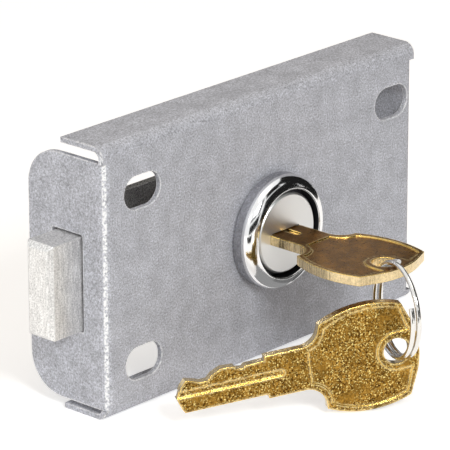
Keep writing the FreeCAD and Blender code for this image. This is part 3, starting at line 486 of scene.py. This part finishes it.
def sanded_brass(colours):
    """Mottled panels and blade of the hanging key, with dark brown specks and painted glints in parts."""
    brass = Finish("sanded_brass", colours.sand_brass, metallic=1.0)
    grain = brass.grain(0.4, contrast=2.6, cloud_size=3, cloud_contrast=2.0)
    rough_parts = brass.specks(4.5, sparseness=0.36, softness=0.12)
    # Dark brown specks, and gold specks that are painted glints, both only in the rough parts.
    dark_specks = maths(brass.tree, "MULTIPLY", brass.specks(0.45, sparseness=0.49, softness=0.09), rough_parts)
    painted_glints = maths(brass.tree, "MULTIPLY", brass.specks(0.32, sparseness=0.56, softness=0.08), rough_parts)
    # Edges rubbed bright: partly wear, partly painted highlight, with less of a mirror there.
    wear_and_highlight = brass.wear_and_highlight(0.8, break_size=1.0)
    brass.shaded(grain).coloured((dark_specks, DARK_SPECK_BROWN), (painted_glints, GLINT_GOLD), (wear_and_highlight, WEAR_AND_HIGHLIGHT_BRASS))
    brass.less_metal(wear_and_highlight, 0.4)
    return brass.surfaced(grain, smooth=0.22, rough=0.38, bump=0.45, depth=0.1)


def handled_brass(colours):
    """Panels and blade of the key in use, rubbed smooth and brown."""
    brass = Finish("handled_brass", colours.handled_brass, metallic=1.0)
    grain = brass.grain(0.4, contrast=1.3, cloud_size=3, cloud_contrast=1.6)
    # Edges rubbed bright: partly wear, partly painted highlight, with less of a mirror there.
    wear_and_highlight = brass.wear_and_highlight(0.8, break_size=1.0)
    brass.shaded(grain).coloured((wear_and_highlight, WEAR_AND_HIGHLIGHT_BRASS)).less_metal(wear_and_highlight, 0.4)
    return brass.surfaced(grain, smooth=0.22, rough=0.38, bump=0.3, depth=0.1)


def milled_brass(colours):
    """Sawn and milled edges, with fine lines across them."""
    brass = Finish("milled_brass", colours.milled, metallic=1.0)
    lines = brass.brushing(0.5, stretch=0.08, contrast=0.7)
    grain = brass.grain(0.5, contrast=0.9, cloud_size=4, cloud_contrast=0.4)
    brass.shaded(lines).shaded(grain).coloured()
    return brass.surfaced(lines, smooth=0.18, rough=0.34, bump=0.5, depth=0.1)


def ring_nickel(colours):
    """Nickelled spring wire."""
    wire = Finish("ring_nickel", colours.ring, metallic=1.0)
    grain = wire.grain(0.8, contrast=0.5, cloud_size=3, cloud_contrast=0.4)
    return wire.shaded(grain).coloured().surfaced(grain, smooth=0.08, rough=0.18)


FINISHES = {maker.__name__: maker for maker in (
    zinc_sheet, drawn_steel, plated_steel, black_steel_and_well_shade, chrome, side_chrome_painted_shade, satin_nickel, zinc_casting,
    tumbler_brass, polished_brass, sanded_brass, handled_brass, milled_brass, ring_nickel)}


def finish(name):
    """Material by name, made once."""
    return bpy.data.materials.get(name) or FINISHES[name](bpy.context.scene.lock_colours)


# Making and placing pieces

COARSE_WELD = 0.001 * MM
FINE_WELD = 0.0001 * MM
FLAT_WITHIN = math.radians(0.4)
EDGE_FROM = math.radians(30)


def new_object(name, data):
    item = bpy.data.objects.new(name, data)
    bpy.context.scene.collection.objects.link(item)
    return item


def smooth_by_angle(mesh, degrees=32):
    mesh.shade_smooth()
    mesh.set_sharp_from_angle(angle=math.radians(degrees))


def settled(item):
    """Apply the modifiers of an object, and keep it as a plain mesh."""
    shown = item.evaluated_get(bpy.context.evaluated_depsgraph_get())
    mesh = bpy.data.meshes.new_from_object(shown)
    item.modifiers.clear()
    old = item.data
    item.data = mesh
    mesh.name = item.name
    bpy.data.meshes.remove(old)
    return item


def mount(item, body, nodes):
    """The piece rides on a body and stands for its solids, which are hidden."""
    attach(item, body)
    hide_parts(*nodes)


def softened(node, width, material, kept_sharp=None):
    """Copy of a solid with its edges slightly rounded, but for the edges at a place kept sharp."""
    work = bmesh.new()
    work.from_mesh(frame["nodes"][node].data)
    bmesh.ops.remove_doubles(work, verts=work.verts, dist=COARSE_WELD)
    bmesh.ops.dissolve_limit(work, angle_limit=FLAT_WITHIN, verts=work.verts, edges=work.edges)
    bmesh.ops.recalc_face_normals(work, faces=work.faces)
    edges = [edge for edge in work.edges if edge.calc_face_angle(0) > EDGE_FROM
             and not (kept_sharp and any(kept_sharp(corner.co) for corner in edge.verts))]
    bmesh.ops.bevel(work, geom=edges, offset=width, segments=2, profile=0.5, affect="EDGES",
                    clamp_overlap=False, loop_slide=False, miter_outer="ARC")
    bmesh.ops.remove_doubles(work, verts=work.verts, dist=FINE_WELD)
    mesh = bpy.data.meshes.new(node + "_finished")
    work.to_mesh(mesh)
    work.free()
    mesh.materials.append(finish(material))
    item = new_object(node + "_finished", mesh)
    smooth_by_angle(mesh, degrees=60)
    weighted = item.modifiers.new("Flat Faces", "WEIGHTED_NORMAL")
    weighted.keep_sharp = True
    weighted.weight = 100
    return settled(item)


def dress(node, width, material, body, kept_sharp=None):
    """Put a softened copy of a solid in its place."""
    mount(softened(node, width, material, kept_sharp), body, [node])


def lathed(name, profile, segments):
    """Closed ring of (radius, place along Y) points, turned about the Y axis."""
    work = bmesh.new()
    rings = []
    for step in range(segments):
        around = 2 * math.pi * step / segments
        rings.append([work.verts.new((radius * math.cos(around), along, radius * math.sin(around)))
                      for radius, along in profile])
    for ring, following in zip(rings, rings[1:] + rings[:1]):
        for i in range(len(profile)):
            j = (i + 1) % len(profile)
            work.faces.new((ring[i], ring[j], following[j], following[i]))
    bmesh.ops.remove_doubles(work, verts=work.verts, dist=FINE_WELD)
    bmesh.ops.recalc_face_normals(work, faces=work.faces)
    mesh = bpy.data.meshes.new(name)
    work.to_mesh(mesh)
    work.free()
    smooth_by_angle(mesh)
    return mesh


def arc_points(centre, radius, start, end, steps):
    """Points of an arc in a profile, angles in degrees from +radius towards +Y."""
    points = []
    for step in range(steps + 1):
        around = math.radians(start + (end - start) * step / steps)
        points.append((centre[0] + radius * math.cos(around), centre[1] + radius * math.sin(around)))
    return points


# Geometry node trees

def new_growth(name, inputs):
    """Empty geometry node tree: inputs are (name, socket type)."""
    tree = bpy.data.node_groups.new(name, "GeometryNodeTree")
    for socket_name, kind in [("Geometry", "Geometry")] + inputs:
        tree.interface.new_socket(socket_name, in_out="INPUT", socket_type="NodeSocket" + kind)
    tree.interface.new_socket("Geometry", in_out="OUTPUT", socket_type="NodeSocketGeometry")
    return tree, tree.nodes.new("NodeGroupInput").outputs, tree.nodes.new("NodeGroupOutput").inputs


def end_growth(tree, given, made, geometry):
    """Realize the instances, set the material and hand the result over."""
    whole = add(tree, "GeometryNodeRealizeInstances", {"Geometry": geometry}).outputs["Geometry"]
    painted = add(tree, "GeometryNodeSetMaterial", {"Geometry": whole, "Material": given["Finish"]})
    tree.links.new(painted.outputs["Geometry"], made["Geometry"])
    return tree


def make_wound_wire():
    """Round wire wound about the Z axis, from the ground up."""
    tree, given, made = new_growth("Wound Wire", [
        ("Turns", "Float"), ("Radius", "Float"), ("Rise", "Float"), ("Wire", "Float"),
        ("Steps Per Turn", "Int"), ("Sides", "Int"), ("Finish", "Material")])
    path = add(tree, "GeometryNodeCurveSpiral", {
        "Resolution": given["Steps Per Turn"], "Rotations": given["Turns"], "Start Radius": given["Radius"],
        "End Radius": given["Radius"], "Height": given["Rise"], "Reverse": True}).outputs["Curve"]
    half = maths(tree, "MULTIPLY", given["Wire"], 0.5)
    section = add(tree, "GeometryNodeCurvePrimitiveCircle", {
        "Resolution": given["Sides"], "Radius": half}).outputs["Curve"]
    wire = add(tree, "GeometryNodeCurveToMesh", {"Curve": path, "Profile Curve": section, "Fill Caps": True})
    return end_growth(tree, given, made, wire.outputs["Mesh"])


def make_in_a_row():
    """The given piece again and again, a step apart."""
    tree, given, made = new_growth("In A Row", [
        ("Count", "Int"), ("Start", "Vector"), ("Step", "Vector"), ("Finish", "Material")])
    row = add(tree, "GeometryNodeMeshLine", {
        "Count": given["Count"], "Start Location": given["Start"], "Offset": given["Step"]}).outputs["Mesh"]
    copies = add(tree, "GeometryNodeInstanceOnPoints", {"Points": row, "Instance": given["Geometry"]})
    return end_growth(tree, given, made, copies.outputs["Instances"])


def grown(name, tree_name, mesh, **values):
    """Plain mesh that a geometry node tree makes of a mesh, with the tree's inputs set by name."""
    makers = {"Wound Wire": make_wound_wire, "In A Row": make_in_a_row}
    tree = bpy.data.node_groups.get(tree_name) or makers[tree_name]()
    item = new_object(name, mesh)
    growth = item.modifiers.new(tree_name, "NODES")
    growth.node_group = tree
    sockets = {socket.name: socket.identifier for socket in tree.interface.items_tree
               if socket.in_out == "INPUT"}
    for key, value in values.items():
        growth[sockets[key.replace("_", " ").title()]] = value
    return settled(item)


def wound(name, material, **values):
    """Wire wound about the Z axis."""
    return grown(name, "Wound Wire", bpy.data.meshes.new(name), finish=finish(material), **values)


def row_of(name, mesh, count, start, step):
    """Plated copies of a mesh, a step apart."""
    return grown(name, "In A Row", mesh, count=count, start=start, step=step, finish=finish("plated_steel"))


def pair_in(node, name, profile, segments, radius):
    """Two plated round pieces, one at each end of a node's box."""
    low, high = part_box(node)
    return row_of(name, lathed(name, profile, segments), count=2,
                  start=(low.x + radius, 0, (low.z + high.z) / 2), step=(high.x - low.x - 2 * radius, 0, 0))


def centre_of(node):
    low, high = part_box(node)
    return (low + high) / 2


# Operators: one for each piece or group of like pieces

class LOCK_OT_case(bpy.types.Operator):
    """Folded case, with its bends and sheared edges slightly rounded"""
    bl_idname = "lock.case"
    bl_label = "Case"

    def execute(self, context):
        sizes = context.scene.lock_sizes

        def in_notch(place):
            return abs(place.z) > sizes.notch_start and place.y < sizes.notch_depth

        dress("case", sizes.sheet_edge, "zinc_sheet", "case_body", kept_sharp=in_notch)
        return {"FINISHED"}


class LOCK_OT_bolt(bpy.types.Operator):
    """Bolt block, slide plate and the two rivets that join them"""
    bl_idname = "lock.bolt"
    bl_label = "Bolt"

    def execute(self, context):
        sizes = context.scene.lock_sizes
        dress("bolt_block", sizes.bolt_edge, "drawn_steel", "bolt_body")
        dress("slide_plate", sizes.plate_edge, "plated_steel", "bolt_body")
        profile = self.rivet(sizes, back=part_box("slide_plate")[1].y)
        rivets = pair_in("bolt_rivets", "bolt_rivet_heads", profile, segments=48, radius=sizes.rivet_radius)
        mount(rivets, "bolt_body", ["bolt_rivets"])
        return {"FINISHED"}

    def rivet(self, sizes, back):
        """Profile of a rivet's domed head, with the end of its shank in the slide."""
        radius = sizes.rivet_radius
        shank = radius * sizes.rivet_shank
        dome = (radius ** 2 + sizes.rivet_crown ** 2) / (2 * sizes.rivet_crown)
        half = math.degrees(math.asin(radius / dome))
        stub = [(0, back - sizes.rivet_sunk), (shank, back - sizes.rivet_sunk), (shank, back), (radius, back)]
        return stub + arc_points((0, back + sizes.rivet_crown - dome), dome, 90 - half, 90, steps=10)


class LOCK_OT_guides(bpy.types.Operator):
    """Guide posts with their washers, and the clips that hold them"""
    bl_idname = "lock.guides"
    bl_label = "Guides"

    def execute(self, context):
        sizes = context.scene.lock_sizes
        dress("guide_posts", sizes.plate_edge, "plated_steel", "case_body")
        low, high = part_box("guide_washers")
        radius = (high.z - low.z) / 2
        hole = radius * sizes.washer_hole
        edge = sizes.plate_edge
        profile = [(hole, low.y), (radius - edge, low.y), (radius, low.y + edge), (radius, high.y - edge),
                   (radius - edge, high.y), (hole, high.y)]
        washers = pair_in("guide_washers", "guide_washer_pair", profile, segments=64, radius=radius)
        mount(washers, "case_body", ["guide_washers"])
        dress("guide_clips", sizes.face_edge, "black_steel_and_well_shade", "case_body")
        return {"FINISHED"}


class LOCK_OT_cylinder(bpy.types.Operator):
    """Chromed head with its threaded barrel, and the washer and nut behind the case"""
    bl_idname = "lock.cylinder"
    bl_label = "Cylinder"

    def execute(self, context):
        sizes = context.scene.lock_sizes
        mesh = lathed("cylinder_head", self.head(sizes) + self.barrel(sizes), segments=240)
        for vertex in mesh.vertices:
            if vertex.co.y > 0:
                vertex.co.z = max(-sizes.barrel_flat, min(sizes.barrel_flat, vertex.co.z))
        self.paint(mesh, sizes)
        mount(new_object("cylinder_head", mesh), "case_body", ["cylinder_housing"])
        dress("cylinder_nut", sizes.nut_edge, "plated_steel", "case_body")
        dress("lock_washer", sizes.plate_edge, "plated_steel", "case_body")
        return {"FINISHED"}

    def head(self, sizes):
        """Profile from the well's floor over the rim and the shoulder to the case."""
        front = -sizes.head_height
        inner = sizes.rim_radius + sizes.rim_round
        well = [(sizes.bore_radius, -sizes.well_floor), (sizes.rim_radius, -sizes.well_floor)]
        rim = arc_points((inner, front + sizes.rim_round), sizes.rim_round, 180, 270, steps=8)
        foot = [(sizes.head_radius, -sizes.head_foot), (sizes.head_radius - sizes.head_foot, 0)]
        return well + rim + self.shoulder(sizes, inner, front, steps=32) + foot

    def shoulder(self, sizes, inner, front, steps):
        """Part of an ellipse, from its slope at the rim to the upright side of the head."""
        out = (sizes.head_radius - inner) / (1 - math.sin(sizes.head_tilt))
        down = sizes.head_dome / math.cos(sizes.head_tilt)
        points = []
        for step in range(1, steps + 1):
            slope = sizes.head_tilt + (math.pi / 2 - sizes.head_tilt) * step / steps
            points.append((sizes.head_radius - out * (1 - math.sin(slope)),
                           front + sizes.head_dome - down * math.cos(slope)))
        return points

    def barrel(self, sizes):
        """Profile of the barrel, with a ridge for each turn of its thread."""
        crest = sizes.barrel_radius
        root = crest - sizes.thread_depth
        flank = sizes.thread_flank * sizes.thread_pitch
        points = [(crest, 0)]
        ridge = sizes.thread_start
        while ridge + sizes.thread_pitch < sizes.barrel_end:
            points += [(crest, ridge), (root, ridge + flank), (root, ridge + sizes.thread_pitch - flank)]
            ridge += sizes.thread_pitch
        return points + [(crest, ridge), (root, sizes.barrel_end), (sizes.bore_radius, sizes.barrel_end)]

    def paint(self, mesh, sizes):
        """Chrome on the shoulder, the black finish in the well as painted shade, and chrome darkened as
        painted shade from the upright side back.
        """
        for name in ("chrome", "black_steel_and_well_shade", "side_chrome_painted_shade"):
            mesh.materials.append(finish(name))
        for face in mesh.polygons:
            reach = math.hypot(face.center.x, face.center.z)
            depth = face.center.y + sizes.head_height
            # Painted shade: the well's faces take the black finish.
            if reach < sizes.rim_radius + sizes.rim_round / 4 and depth > sizes.rim_round:
                face.material_index = 1
            # Painted shade: the upright side takes a darker copy of the chrome.
            elif depth > sizes.head_dome:
                face.material_index = 2


class LOCK_OT_plug(bpy.types.Operator):
    """Plug face, and the tumbler springs wound inside the plug"""
    bl_idname = "lock.plug"
    bl_label = "Plug"

    def execute(self, context):
        sizes = context.scene.lock_sizes
        dress("plug_face", sizes.face_edge, "satin_nickel", "plug_body")
        nodes = sorted(node for node in frame["nodes"] if node.startswith("tumbler_spring"))
        low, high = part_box(nodes[0])
        first = centre_of(nodes[0])
        wire = sizes.spring_wire
        one = wound("tumbler_spring_row", "plated_steel", turns=sizes.spring_turns,
                    radius=sizes.spring_radius, rise=high.x - low.x - wire, wire=wire, steps_per_turn=24,
                    sides=8)
        mesh = one.data
        mesh.transform(Matrix.Rotation(math.pi / 2, 4, "Y"))
        bpy.data.objects.remove(one)
        springs = row_of("tumbler_spring_row", mesh, count=len(nodes),
                         start=(low.x + wire / 2, first.y, first.z), step=tuple(centre_of(nodes[1]) - first))
        smooth_by_angle(springs.data)
        mount(springs, "plug_body", nodes)
        return {"FINISHED"}


class LOCK_OT_cam(bpy.types.Operator):
    """Stop washer, cam and drive pin on the plug's tail, and the ring that retains them"""
    bl_idname = "lock.cam"
    bl_label = "Cam"

    def execute(self, context):
        sizes = context.scene.lock_sizes
        for node, slot in (("stop_washer", "washer_steel"), ("cam", "cam_steel"), ("drive_pin", "pin_steel")):
            dress(node, sizes.plate_edge, "plated_steel", "plug_body")
        dress("retaining_ring", sizes.face_edge, "black_steel_and_well_shade", "plug_body")
        return {"FINISHED"}


class LOCK_OT_keys(bpy.types.Operator):
    """Two brass keys: polished rims and rounded edges, rubbed or sanded panels, milled sides"""
    bl_idname = "lock.keys"
    bl_label = "Keys"

    def execute(self, context):
        sizes = context.scene.lock_sizes
        hole = Vector((sizes.key_hole_along, sizes.key_hole_across, 0))
        in_lock = Matrix.Rotation(-math.pi / 2, 4, "Z")
        hanging = (Matrix.Rotation(sizes.spare_heading, 4, "Z") @ Matrix.Rotation(-sizes.spare_tilt, 4, "Y")
                   @ Matrix.Rotation(math.pi / 2, 4, "X"))
        for node, panel, turn, joint in (("lock_key", "handled_brass", in_lock, "ring_swing"),
                                         ("spare_key", "sanded_brass", hanging, "spare_swing")):
            key = softened(node, sizes.key_edge, "polished_brass")
            for name in (panel, "milled_brass"):
                key.data.materials.append(finish(name))
            place = Matrix.Translation(joint_place(joint)) @ turn @ Matrix.Translation(-hole)
            self.paint(key.data, place.to_3x3().inverted())
            mount(key, node + "_body", [node])
        return {"FINISHED"}

    def paint(self, mesh, to_key):
        """The panel's finish where a face lies along the key, milled where it stands across it."""
        lies_flat = 0.98
        stands_upright = 0.2
        for face in mesh.polygons:
            facing = abs((to_key @ face.normal).z)
            if facing > lies_flat:
                face.material_index = 1
            elif facing < stands_upright:
                face.material_index = 2


class LOCK_OT_split_ring(bpy.types.Operator):
    """Split ring: nickelled wire wound nearly twice round, through both keys"""
    bl_idname = "lock.split_ring"
    bl_label = "Split Ring"

    def execute(self, context):
        sizes = context.scene.lock_sizes
        ring = wound("split_ring_wire", "ring_nickel", turns=sizes.ring_turns, radius=sizes.ring_radius,
                     rise=sizes.ring_rise * sizes.ring_turns, wire=sizes.ring_wire, steps_per_turn=160,
                     sides=24)
        inward = Vector((math.cos(sizes.ring_heading), math.sin(sizes.ring_heading), 0))
        upward = Vector((0, 0, 1))
        across = inward.cross(upward)
        share = ((sizes.ring_hang - sizes.ring_start) % (2 * math.pi)) / (2 * math.pi) - 0.5
        reach = (inward * math.cos(sizes.ring_hang) + upward * math.sin(sizes.ring_hang)) * sizes.ring_radius
        centre = joint_place("ring_swing") - reach - across * sizes.ring_rise * share
        turn = (Matrix.Rotation(sizes.ring_heading, 4, "Z") @ Matrix.Rotation(math.pi / 2, 4, "X")
                @ Matrix.Rotation(sizes.ring_start, 4, "Z"))
        ring.data.transform(Matrix.Translation(centre - across * sizes.ring_rise) @ turn)
        smooth_by_angle(ring.data)
        mount(ring, "ring_body", ["split_ring"])
        return {"FINISHED"}


class LOCK_OT_inner_pieces(bpy.types.Operator):
    """Finishes for the plug, the stop pin and the tumblers, which keep their own shape"""
    bl_idname = "lock.inner_pieces"
    bl_label = "Inner Pieces"

    def execute(self, context):
        finishes = {"plug": "zinc_casting", "stop_pin": "plated_steel"}
        finishes.update({node: "tumbler_brass" for node in frame["nodes"]
                         if node.startswith("tumbler_") and "spring" not in node})
        for node, name in finishes.items():
            for place in frame["nodes"][node].material_slots:
                place.material = finish(name)
        return {"FINISHED"}


# Stage

FLOOR_REACH = 6.0
FLOOR_GLOW = 0.5
CARD_ABOVE_FLOOR = 0.3 * MM
DARK = 0.012
SKY_LIGHT = 0.46
WHITE = (1.0, 1.0, 1.0)
WARM_SKY = (0.88, 0.76, 0.62)
WARM_FROM = 0.45
WARM_TO = 0.85
CAMERA_PLACE = (-0.55995, -0.5006, 0.2708)
CAMERA_TILT = math.radians(70.22)
CAMERA_HEADING = math.radians(-47.49)
CAMERA_ROLL = math.radians(-0.15)
CAMERA_LENS = 312.7
CAMERA_SENSOR = 36


def floor_level():
    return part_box("case")[0].z


class LOCK_OT_stage(bpy.types.Operator):
    """Pale floor, soft lamps, dark cards for the metal to mirror, and the camera"""
    bl_idname = "lock.stage"
    bl_label = "Stage"

    def execute(self, context):
        self.world(context)
        self.floor(context)
        self.lamp("Key Lamp", (-0.39, -0.82, 0.6), away=1.1, size=0.22, watts=5.0, colour=(0.95, 0.98, 1.0))
        self.lamp("Top Lamp", (-0.1, -0.3, 1.2), away=1.4, size=0.8, watts=2.0, colour=(1.0, 0.9, 0.74))
        self.lamp("Side Lamp", (-0.85, -0.3, 0.5), away=1.1, size=0.14, watts=1.6, colour=(0.97, 0.98, 1.0))
        self.flag("Right Flag", (0.95, -0.12, 0.3), width=0.95, height=0.72)
        self.flag("Front Flag", (0.5, -0.8, 0.24), width=0.9, height=0.56)
        self.flag("Back Flag", (0.69, 0.64, 0.34), width=0.8, height=0.7, level=0.05)
        self.flag("High Flag", (0.74, -0.2, 0.68), width=0.9, height=0.5)
        self.flag("Overhead Bar", (0.26, -0.66, 0.7), width=0.5, height=0.4)
        self.flag("Camera Flag", (-0.42, -0.9, 0.1), width=0.95, height=0.26)
        self.flag("Upright Bar", (-0.12, -0.85, 0.52), width=0.1, height=0.5, away=0.9)
        self.flag("Level Bar", (-0.55, -0.75, 0.36), width=0.5, height=0.07, away=0.9)
        # Floor cards that only the metal mirrors; Head, Back and Key Shade are painted shadows of the lock
        # and keys there.
        self.shade("Camera Shade", (-0.68, -0.73), near=0.12, far=0.4, near_width=0.05, far_width=0.3)
        self.shade("Front Shade", (0.73, -0.68), near=0.16, far=1.0, near_width=0.5, far_width=1.9)
        self.shade("Head Shade", (0.3, -0.95), near=0.003, far=0.035, near_width=0.03, far_width=0.04,
                   level=0.3)
        self.shade("Back Shade", (0, 1), near=0.022, far=0.2, near_width=0.09, far_width=0.12)
        self.shade("Key Shade", (0.83, -0.56), near=0.018, far=0.055, near_width=0.022, far_width=0.034,
                   level=0.12)
        self.camera(context)
        context.scene.view_settings.view_transform = "Standard"
        return {"FINISHED"}

    def seen(self, tree):
        """Mask of the rays that look straight or by way of metal and glass."""
        path = add(tree, "ShaderNodeLightPath").outputs
        mirrored = maths(tree, "ADD", path["Is Glossy Ray"], path["Is Transmission Ray"])
        return add(tree, "ShaderNodeMath", {0: path["Is Camera Ray"], 1: mirrored}, operation="ADD",
                   use_clamp=True).outputs[0]

    def world(self, context):
        """White sky where it is seen, and a dimmer one that is warm overhead where it lights the lock."""
        world = bpy.data.worlds.new("Studio")
        tree = bare_tree(world)
        seen = self.seen(tree)
        way = add(tree, "ShaderNodeTexCoord").outputs["Generated"]
        height = add(tree, "ShaderNodeSeparateXYZ", {0: way}).outputs["Z"]
        unseen = maths(tree, "SUBTRACT", 1.0, seen)
        warmth = ranged(tree, height, start=WARM_FROM, end=WARM_TO, level_at_end=unseen)
        sky = add(tree, "ShaderNodeBackground", {
            "Color": mixed_colour(tree, warmth, WHITE, WARM_SKY),
            "Strength": ranged(tree, seen, start=0.0, end=1.0, level_at_start=SKY_LIGHT)})
        add(tree, "ShaderNodeOutputWorld", {"Surface": sky.outputs["Background"]})
        context.scene.world = world

    def floor(self, context):
        """Pale matt floor, lifted to white where it is seen."""
        reach = FLOOR_REACH
        corners = [(-reach, -reach), (reach, -reach), (reach, reach), (-reach, reach)]
        mesh = bpy.data.meshes.new("Floor")
        mesh.from_pydata([(x, y, floor_level()) for x, y in corners], [], [(0, 1, 2, 3)])
        material = bpy.data.materials.new("pale_floor")
        tree = bare_tree(material)
        shader = add(tree, "ShaderNodeBsdfPrincipled", {
            "Base Color": tuple(context.scene.lock_colours.floor) + (1.0,), "Roughness": 0.9,
            "Specular IOR Level": 0.1, "Emission Color": WHITE + (1.0,),
            "Emission Strength": maths(tree, "MULTIPLY", self.seen(tree), FLOOR_GLOW)})
        add(tree, "ShaderNodeOutputMaterial", {"Surface": shader.outputs["BSDF"]})
        mesh.materials.append(material)
        new_object("Floor", mesh)

    def aimed(self, item, direction, away):
        """Place an item in a direction from the origin, facing it."""
        direction = Vector(direction)
        item.location = direction.normalized() * away
        item.rotation_euler = direction.to_track_quat("Z", "Y").to_euler()

    def lamp(self, name, direction, away, size, watts, colour):
        light = bpy.data.lights.new(name, "AREA")
        light.energy = watts
        light.color = colour
        light.size = size
        self.aimed(new_object(name, light), direction, away)

    def flag(self, name, direction, width, height, away=1.0, level=DARK):
        """Upright dark card, facing the lock."""
        corners = [(-width / 2, -height / 2, 0), (width / 2, -height / 2, 0), (width / 2, height / 2, 0),
                   (-width / 2, height / 2, 0)]
        self.aimed(self.dark_card(name, corners, level), direction, away)

    def shade(self, name, heading, near, far, near_width, far_width, level=DARK):
        """Dark card lying on the floor, from near the lock outwards."""
        heading = Vector(heading)
        aside = Vector((-heading.y, heading.x))
        corners = [heading * near - aside * near_width / 2, heading * far - aside * far_width / 2,
                   heading * far + aside * far_width / 2, heading * near + aside * near_width / 2]
        height = floor_level() + CARD_ABOVE_FLOOR
        self.dark_card(name, [(corner.x, corner.y, height) for corner in corners], level)

    def dark_card(self, name, corners, level):
        """Card that only shows in polished metal."""
        mesh = bpy.data.meshes.new(name)
        mesh.from_pydata(corners, [], [(0, 1, 2, 3)])
        material = bpy.data.materials.new(name.lower().replace(" ", "_"))
        tree = bare_tree(material)
        glow = add(tree, "ShaderNodeEmission", {"Color": WHITE + (1.0,), "Strength": level})
        add(tree, "ShaderNodeOutputMaterial", {"Surface": glow.outputs["Emission"]})
        mesh.materials.append(material)
        item = new_object(name, mesh)
        item.visible_camera = False
        item.visible_diffuse = False
        item.visible_shadow = False
        return item

    def camera(self, context):
        """Camera at the photograph's viewing angle."""
        data = bpy.data.cameras.new("Camera")
        data.lens = CAMERA_LENS
        data.sensor_width = CAMERA_SENSOR
        data.clip_start = 0.05
        data.clip_end = 20
        camera = new_object("Camera", data)
        camera.location = CAMERA_PLACE
        aim = Euler((CAMERA_TILT, 0, CAMERA_HEADING)).to_matrix()
        camera.rotation_euler = (aim @ Matrix.Rotation(CAMERA_ROLL, 3, "Z")).to_euler()
        context.scene.camera = camera


# Panel and registering

class LOCK_PT_panel(bpy.types.Panel):
    """Sizes, colours and the steps that dress the lock"""
    bl_label = "Key Cabinet Lock"
    bl_idname = "LOCK_PT_panel"
    bl_space_type = "VIEW_3D"
    bl_region_type = "UI"
    bl_category = "Lock"

    def draw(self, context):
        for operator in OPERATORS:
            self.layout.operator(operator.bl_idname)
        for settings in (context.scene.lock_sizes, context.scene.lock_colours):
            for name in settings.__annotations__:
                self.layout.prop(settings, name)


OPERATORS = (LOCK_OT_case, LOCK_OT_bolt, LOCK_OT_guides, LOCK_OT_cylinder, LOCK_OT_plug, LOCK_OT_cam,
             LOCK_OT_keys, LOCK_OT_split_ring, LOCK_OT_inner_pieces, LOCK_OT_stage)
CLASSES = (LockSizes, LockColours) + OPERATORS + (LOCK_PT_panel,)


def register():
    for item in CLASSES:
        bpy.utils.register_class(item)
    bpy.types.Scene.lock_sizes = PointerProperty(type=LockSizes)
    bpy.types.Scene.lock_colours = PointerProperty(type=LockColours)


def unregister():
    del bpy.types.Scene.lock_colours
    del bpy.types.Scene.lock_sizes
    for item in reversed(CLASSES):
        bpy.utils.unregister_class(item)


def main():
    register()
    for step in ("case", "bolt", "guides", "cylinder", "plug", "cam", "keys", "split_ring", "inner_pieces",
                 "stage"):
        getattr(bpy.ops.lock, step)()


if __name__ == "__main__":
    main()
